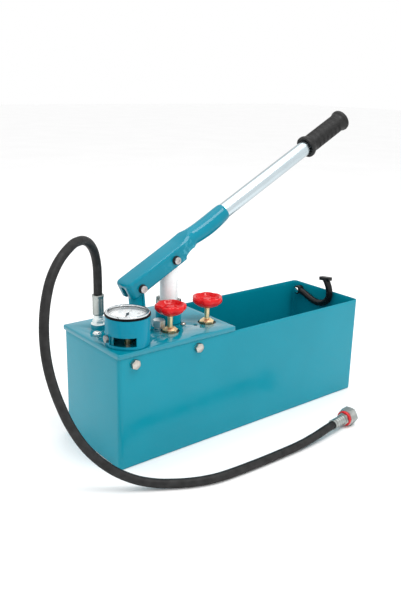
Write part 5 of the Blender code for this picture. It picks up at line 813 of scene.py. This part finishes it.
def make_gauge():
    place = at(*GAUGE, 0.0)
    screw_axis = at(0, 0, SEAT + 0.012) @ turn("Z", GAUGE_SLOT_TURN) @ ALONG_X
    shell = lathe([(HOUSING_RADIUS, SEAT, 0.0005), (HOUSING_RADIUS, HOUSING_TOP, 0.0007),
                   (0.0303, HOUSING_TOP, 0.0005), (0.0303, SEAT, 0.0005)], 128, True)
    window = [(0.0, 0.0)] + arc((0.0, 0.0), 0.036, math.radians(-176), math.radians(-100), 24)
    window = prism(window, SEAT + 0.0044, SEAT + 0.0176, 0.00001, 1)
    hole = moved(cylinder(0.0033, 0.016, 0.04, 32), screw_axis)
    piece("gauge_housing_wall", combine(shell, window, hole, bevel=(0.0004, 2, 50)), "housing_paint", place)

    head = moved(hex_body(0.01, 0.004, dome=0.0004), at(0, 0, 0.0328) @ turn("Z", 10))
    screw = joined(head, cylinder(0.003, 0.0248, 0.0335, 28))
    piece("housing_screw_head", screw, "dark_screw", place @ screw_axis)
    gasket = mm((30.2, 221.1), (32.8, 221.1, 0.6), (33, 222.6), (32.8, 224, 0.6), (30.2, 224))
    piece("gauge_gasket_ring", lathe(gasket, 128, True), "seal_rubber", place)
    bezel = mm((29.8, 224.1), (31.7, 224.1, 0.4), (31.7, 225.6, 0.6), (31.1, 226.6, 0.5), (30.2, 226.6, 0.6),
               (28.4, 226.3, 0.3), (28.2, 225.6, 0.2), (29.8, 225.6))
    piece("gauge_bezel_ring", lathe(bezel, 160, True), "gauge_chrome", place)
    piece("gauge_glass_pane", cylinder(0.0294, 0.2238, 0.2254, 96, 0.0003), "gauge_glass", place)
    dial = mm((1.8, 219.5), (27.2, 219.5), (27.2, 220.3, 0.2), (1.8, 220.3, 0.1))
    piece("gauge_dial_plate", lathe(dial, 96, True), "gauge_dial", place)
    make_dial_marks(place)

    blade = mm((-7, -1.1), (-3, -0.9), (0, -1), (21.5, -0.25), (21.5, 0.25), (0, 1), (-3, 0.9), (-7, 1.1))
    blade = moved(prism(blade, 0.0, 0.0006, 0.0001, 2), turn("Z", 225))
    hub = lathe(mm((0, -5), (1, -5), (1, -0.2), (2.2, -0.2, 0.3), (2.2, 1.2, 0.4), (0, 1.5)), 40)
    place = place @ at(0, 0, 0.2213)
    piece("gauge_pointer", joined(blade, hub), "gauge_needle", place, ["gauge_needle"], "needle")


def number_body(text):
    data = bpy.data.curves.new("number", "FONT")
    data.body = text
    data.size = 0.0042
    data.align_x = "CENTER"
    data.align_y = "CENTER"
    data.extrude = 0.00002
    holder = linked(bpy.data.objects.new("number", data))
    bpy.context.view_layer.update()
    mesh = bpy.data.meshes.new_from_object(holder.evaluated_get(bpy.context.evaluated_depsgraph_get()))
    bm = bmesh.new()
    bm.from_mesh(mesh)
    bpy.data.objects.remove(holder)
    bpy.data.curves.remove(data)
    bpy.data.meshes.remove(mesh)
    return bm


def make_dial_marks(place):
    """Fine marks and plain numbers of a pressure scale over 270 degrees."""
    marks = []
    count, sweep, start, outer, thick = 50, 270, 225, 0.0248, 0.00005
    for i in range(count + 1):
        inner, width = (0.0208, 0.0003) if i % 10 == 0 else (0.0222 if i % 5 == 0 else 0.0232, 0.00014)
        outline = [(inner, -width), (outer, -width), (outer, width), (inner, width)]
        marks.append(moved(loft([flat(outline, 0.0), flat(outline, thick)]), turn("Z", start - sweep * i / count)))
    marks.append(cylinder(0.0251, 0.0, thick, 96, bore=outer))
    for i in range(6):
        x, y = polar(0.0172, math.radians(start - sweep * i / 5))
        marks.append(moved(number_body(str(i * 20)), at(x, y, 0.00003)))
    piece("gauge_dial_marks", joined(*marks), "dial_marks", place @ at(0, 0, 0.22031) @ turn("Z", -20), [])


# Link and lever

def make_link():
    eye_z = LINK_BASE.z - SEAT
    cheek = [(-0.0162, 0.0), (0.0162, 0.0), (0.0162, 0.0035, 0.0008), (0.013, 0.0045, 0.002),
             *arc((0.0, eye_z), 0.009, math.radians(-18), math.radians(198), 20),
             (-0.013, 0.0045, 0.002), (-0.0162, 0.0035, 0.0008)]
    cheek = softened(cheek, 3, True)
    cheeks = [moved(prism(cheek, -0.002, 0.002, 0.0006), at(0, side * (CHEEK_FACE - 0.002), 0) @ ALONG_MINUS_Y)
              for side in (-1, 1)]
    plate = prism(rounded_rectangle(0.0162, CHEEK_FACE - 0.0008, 0.002, 5), 0.0, 0.0037)
    piece("link_bracket_body", joined(plate, *cheeks), "pump_paint", at(LINK_BASE.x, 0.0, SEAT))
    edge = CHEEK_FACE + 0.0003
    pin = [(0.0, edge + 0.0021), (0.0045, edge + 0.002), (0.006, edge + 0.0012, 0.0005), (0.006, edge, 0.0002),
           (0.004, edge)]
    pin += [(radius, -height, *rest) for radius, height, *rest in reversed(pin)]
    piece("link_pin_rod", lathe(pin, 44), "zinc_bolts", Matrix.Translation(LINK_BASE) @ ALONG_MINUS_Y)

    shape = arc((0.0, LINK_LENGTH), 0.012, 0.0, math.pi, 24) + arc((0.0, 0.0), 0.012, math.pi, TAU, 24)
    bosses, cutters = [], []
    for height in (0.0, LINK_LENGTH):
        bosses.append(moved(cylinder(0.0105, -0.0135, 0.0135, 64, 0.0008), at(0, height, 0)))
        cutters.append(moved(cylinder(0.0043, -0.02, 0.02, 40), at(0, height, 0)))
    link = combine(prism(shape, -0.0045, 0.0045, 0.001, 4), *bosses, operation="UNION")
    for side in (-1, 1):
        groove = prism(rounded_rectangle(0.0011, 0.015, 0.001, 4), -0.0014, 0.0014, 0.0002, 2)
        cutters.append(moved(groove, at(0.0068, LINK_LENGTH / 2, side * 0.0045)))
    piece("fulcrum_link_body", combine(link, *cutters), "pump_paint", LINK_FRAME @ ALONG_MINUS_Y, body="link")


def channel_outline(half, top, bottom, radius, steps=10):
    points = []
    for k, (y, n) in enumerate(((half - radius, top - radius), (radius - half, top - radius),
                                (radius - half, bottom + radius), (half - radius, bottom + radius))):
        points += arc((y, n), radius, k * QUARTER, (k + 1) * QUARTER, steps)
    return points


def cut_corners(points, reach):
    """An outline whose upper corners are cut flat where they stand out more than reach along their diagonal."""
    cut = []
    for y, n in points:
        over = max(0.0, (abs(y) + n) / math.sqrt(2) - reach) / math.sqrt(2) if n > 0 else 0.0
        cut.append((y - math.copysign(over, y), n - over))
    return cut


def smooth_share(share):
    share = min(1.0, max(0.0, share))
    return share * share * (3 - 2 * share)


def along_lever(sections):
    """A skin through (distance along the lever, outline) sections."""
    return loft([[Vector((u, y, n)) for y, n in points] for u, points in sections])


# The channel's outline from the side
LEVER_SIDE = mm(
    (-19.6, -10, 4), (84, -10, 0), (86.8, -9.5, 1), (88.4, -7, 1.2), (88.8, -4.5, 0.8), (92.5, -2.6, 1),
    (98, -1.3, 2), (106, -1, 3), (115, -3.4, 3), (123, -6.2, 3), (130, -8.6, 2), (134, -20, 0), (193, -20, 0),
    (193, 30, 0), (-19.6, 30, 0),
)
# The tube socket: distance along the lever, radius, and how far its centre lies below the tube's
SOCKET_SHAPE = mm(
    (120, 14.4, 0), (128, 14.55, 0.8), (136, 14.75, 1.4), (144, 15, 1.8), (152, 15.15, 1.9), (160, 15.15, 1.8),
    (168, 15, 1.4), (176, 14.7, 0.9), (183, 14.3, 0.4), (188, 13.85, 0.1), (190.2, 13.45, 0), (191, 13, 0),
)


def make_lever_channel():
    """The pressed channel: a loft trimmed to its side outline, hollowed, with a hood at its rear."""
    half, top, bottom, edge = 0.018, 0.018, -0.0102, 0.0045
    end_half, end_top, end_bottom, end_radius = 0.0144, 0.0224, -0.0064, 0.01439
    sections = [(-0.0195 + 0.008 * rise, channel_outline(half - 0.0055 * inset, top - 0.0035 * inset, bottom, edge))
                for inset, rise in rounding(8)]
    fold_start, fold_length, steps = 0.087, 0.033, 16
    sections += [(u, channel_outline(half, top, bottom, edge)) for u in (0.03, fold_start)]
    reach = (half + top) / math.sqrt(2) - edge * (math.sqrt(2) - 1)
    for i in range(1, steps):
        share = i / steps
        ease = smooth_share(share)
        outline = channel_outline(
            half + (end_half - half) * ease, top + (end_top - top) * ease, bottom + (end_bottom - bottom) * ease,
            edge + (end_radius - edge) * smooth_share((share - 0.5) / 0.5))
        outline = cut_corners(outline, reach - 0.0008 * smooth_share(share / 0.55))
        sections.append((fold_start + fold_length * share, outline))
    for u, radius, drop in SOCKET_SHAPE:
        middle = TUBE_RISE - drop
        sections.append((u, channel_outline(radius, middle + radius, middle - radius, radius - 0.00001)))
    side = moved(prism(softened(LEVER_SIDE, 4, True), -0.03, 0.03, 0.00001, 1), turn("X", 90))
    body = combine(along_lever(sections), side, operation="INTERSECT")
    void = channel_outline(0.015, 0.015, -0.03, 0.003)
    mouth = channel_outline(0.0055, 0.0115, -0.03, 0.005)
    bore = lathe(mm((0, 90), (6, 90), (8.5, 100), (12.2, 114), (12.8, 119), (12.8, 200), (0, 200)), 64)
    body = combine(body, along_lever([(-0.0158, void), (0.092, void)]), along_lever([(-0.03, mouth), (0.0, mouth)]),
                   moved(bore, at(0, 0, TUBE_RISE) @ ALONG_X), block((0.088, -0.0118, -0.03), (0.118, 0.0118, 0.006)),
                   bevel=(0.0007, 3, 38))
    piece("lever_channel_body", body, "lever_paint", LEVER_FRAME, body="lever")


def make_grip():
    """A rubber grip with cupped flange, diamond knurl and a domed end."""
    body_radius, body_start, body_end, steps = 0.0155, 0.0125, 0.085, 76
    profile = [(0.0128, 0.002), (0.015, 0.0008, 0.0008), (0.0174, 0.0, 0.001), (0.0186, 0.0012, 0.001),
               (0.0187, 0.0056, 0.0014), (0.0166, 0.01, 0.002), (body_radius, body_start)]
    end = [(body_radius, body_end), (0.0163, 0.0885, 0.0016), (0.0178, 0.091, 0.002), (0.0182, 0.0938, 0.0016),
           (0.0174, 0.0965, 0.002), (0.0142, 0.0986, 0.002), (0.008, 0.0998, 0.003), (0.0, 0.1)]
    rows = [(body_radius, body_start + (body_end - body_start) * i / steps) for i in range(1, steps + 1)]

    def knurled(radius, height, angle):
        first, second = (abs(math.sin(12 * angle + sense * height / 0.0042 * math.pi)) for sense in (1, -1))
        fade = min(1.0, (height - body_start) / 0.003, (body_end - height) / 0.003)
        return radius - 0.001 * max(0.0, 1 - 1.9 * min(first, second)) * max(0.0, fade)

    lines = [(0.0, 0.093), (0.0128, 0.093), *softened(profile), *rows, *softened(end)[1:]]
    piece("lever_grip_sleeve", spun(lines, 96, shape=knurled), "grip_rubber",
          LEVER_FRAME @ at(0.39, 0, TUBE_RISE) @ ALONG_X, body="lever")


def make_lever():
    make_lever_channel()
    # Painted shade: a black plate across the channel's tail stands in for the shade in the hollow behind the link.
    shade_plate = block((-0.0156, -0.012, -0.0098), (-0.0144, 0.012, 0.0135))
    piece("lever_tail_web", shade_plate, "pivot_black", LEVER_FRAME, [], "lever")
    tube = cylinder(0.0125, 0.13, 0.483, 72, 0.0003, 0.0105)
    piece("lever_tube_body", tube, "tube_chrome", LEVER_FRAME @ at(0, 0, TUBE_RISE) @ ALONG_X, body="lever")
    make_grip()
    face = CHEEK_FACE
    for name, twist, u, n in (("pivot", 40, 0.0, 0.0), ("piston", 15, *PISTON)):
        shaft = lathe([(0.0, -face - 0.0085), (0.0035, -face - 0.0085, 0.0003), (0.004, -face - 0.008),
                       (0.004, face), (0.0068, face, 0.0002), (0.0068, face + 0.0012, 0.0003),
                       (0.0054, face + 0.0015, 0.0003), (0.0055, face + 0.0044), (0.0, face + 0.0044)], 56)
        cap = lathe([(0.0, face + 0.0045), (0.0055, face + 0.0045), (0.0055, face + 0.0056, 0.0003),
                     (0.0051, face + 0.0058, 0.0002), (0.0, face + 0.0058)], 56)
        recess = moved(prism(hexagon_points(0.005, 0.0002, 2), 0.0, 0.01, 0.00001, 1), at(0, 0, face + 0.0052))
        place = LEVER_FRAME @ at(u, 0.0, n) @ ALONG_MINUS_Y
        # The black washer and head side of the bolt body are painted shade round its steel cap.
        piece(f"{name}_bolt_body", shaft, "pivot_black", place, body="lever")
        piece(f"{name}_bolt_face", combine(cap, recess), "pivot_steel", place, [], "lever")
        place = LEVER_FRAME @ at(u, face, n) @ ALONG_Y @ turn("Z", twist)
        piece(f"{name}_nut_body", hex_body(M8_FLATS, M8_NUT, bore=0.0041), "zinc_bolts", place, body="lever")


# Hook

# The rod's line in shares of its reach, back and up, from the hub's centre
HOOK_SHARES = ((-0.04, -0.02), (-0.18, -0.08), (-0.33, -0.2), (-0.49, -0.31), (-0.66, -0.36),
               (-0.84, -0.28), (-0.97, -0.08), (-1.02, 0.18), (-1.01, 0.48), (-0.95, 0.76), (-0.87, 1.0))


def make_hook():
    x, y, z = HOOK_CENTRE
    points = [Vector(HOOK_CENTRE) + Vector((0.0, back * 0.075, up * 0.0365)) for back, up in HOOK_SHARES]
    line, _ = smooth_route(points, 0.002)
    half = 0.0057
    hub = cylinder(0.0082, -half, half, 56, 0.0008, 0.0038)
    tab = prism(rounded_rectangle(0.005, 0.012, 0.0012, 4), -0.003, 0.0035, 0.0008)
    tab = moved(tab, Matrix.Translation(points[-1]) @ turn("X", -6))
    body = joined(rod(line, 0.006, 28), moved(hub, at(x, y, z) @ ALONG_X), tab)
    piece("hook_body", body, "black_steel", body="lever_hook")
    inner = x - half - 0.0003
    length = 0.2503 - inner
    pin = [(0.0, length + 0.002), (0.0036, length + 0.0018), (0.0055, length + 0.0008, 0.0004),
           (0.0055, length, 0.0001), (0.0035, length), (0.0035, 0.0), (0.0055, 0.0, 0.0002),
           (0.0055, -0.0018, 0.0006), (0.0042, -0.0028, 0.0006), (0.0, -0.0031)]
    piece("hook_pin_rivet", lathe(pin, 44), "bright_screw", at(inner, y, z) @ ALONG_X)


# Studio

def area_light(name, place, size, power):
    data = bpy.data.lights.new(name, "AREA")
    data.shape = "RECTANGLE"
    data.size, data.size_y = size
    data.energy = power
    light = linked(bpy.data.objects.new(name, data))
    light.location = place
    target = Vector((-0.05, 0.0, 0.12))
    light.rotation_euler = (target - Vector(place)).to_track_quat("-Z", "Y").to_euler()


def make_studio():
    bm = bmesh.new()
    bmesh.ops.create_grid(bm, x_segments=4, y_segments=4, size=12.0)
    floor = mesh_object("floor", bm)
    floor.data.materials.append(MATERIALS["floor"])

    bpy.context.scene.view_settings.view_transform = "Standard"
    world = bpy.data.worlds.new("studio")
    bpy.context.scene.world = world
    world.use_nodes = True
    background = world.node_tree.nodes["Background"]
    background.inputs["Color"].default_value = (1.0, 1.0, 1.0, 1.0)
    background.inputs["Strength"].default_value = 1.0
    area_light("key", (-0.9, -1.9, 1.8), (0.7, 0.7), 1.0)
    area_light("top", (0.1, 0.3, 2.2), (1.6, 1.6), 10.0)
    area_light("front", (0.06, -0.72, 1.7), (0.62, 0.68), 11.5)


make_camera()
make_hose()
make_tank()
make_lid()
make_lid_screws()
make_pump()
make_delivery_spring()
make_valves()
make_gauge()
make_link()
make_lever()
make_hook()
make_studio()

# Solids shown as they are
KEPT = {
    "cast_block": ["manifold_block"],
    "seal_rubber": ["plunger_seal"],
    "steel_balls": ["suction_ball", "delivery_ball"],
    "gauge_steel": ["gauge_case"],
    "brass_parts": ["pump_cylinder", "foot_valve_body", "suction_strainer", "gauge_movement", "bourdon_tube",
                    "gauge_stem"],
}
for look, nodes in KEPT.items():
    for node in nodes:
        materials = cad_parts[node].data.materials
        materials.clear()
        materials.append(MATERIALS[look])
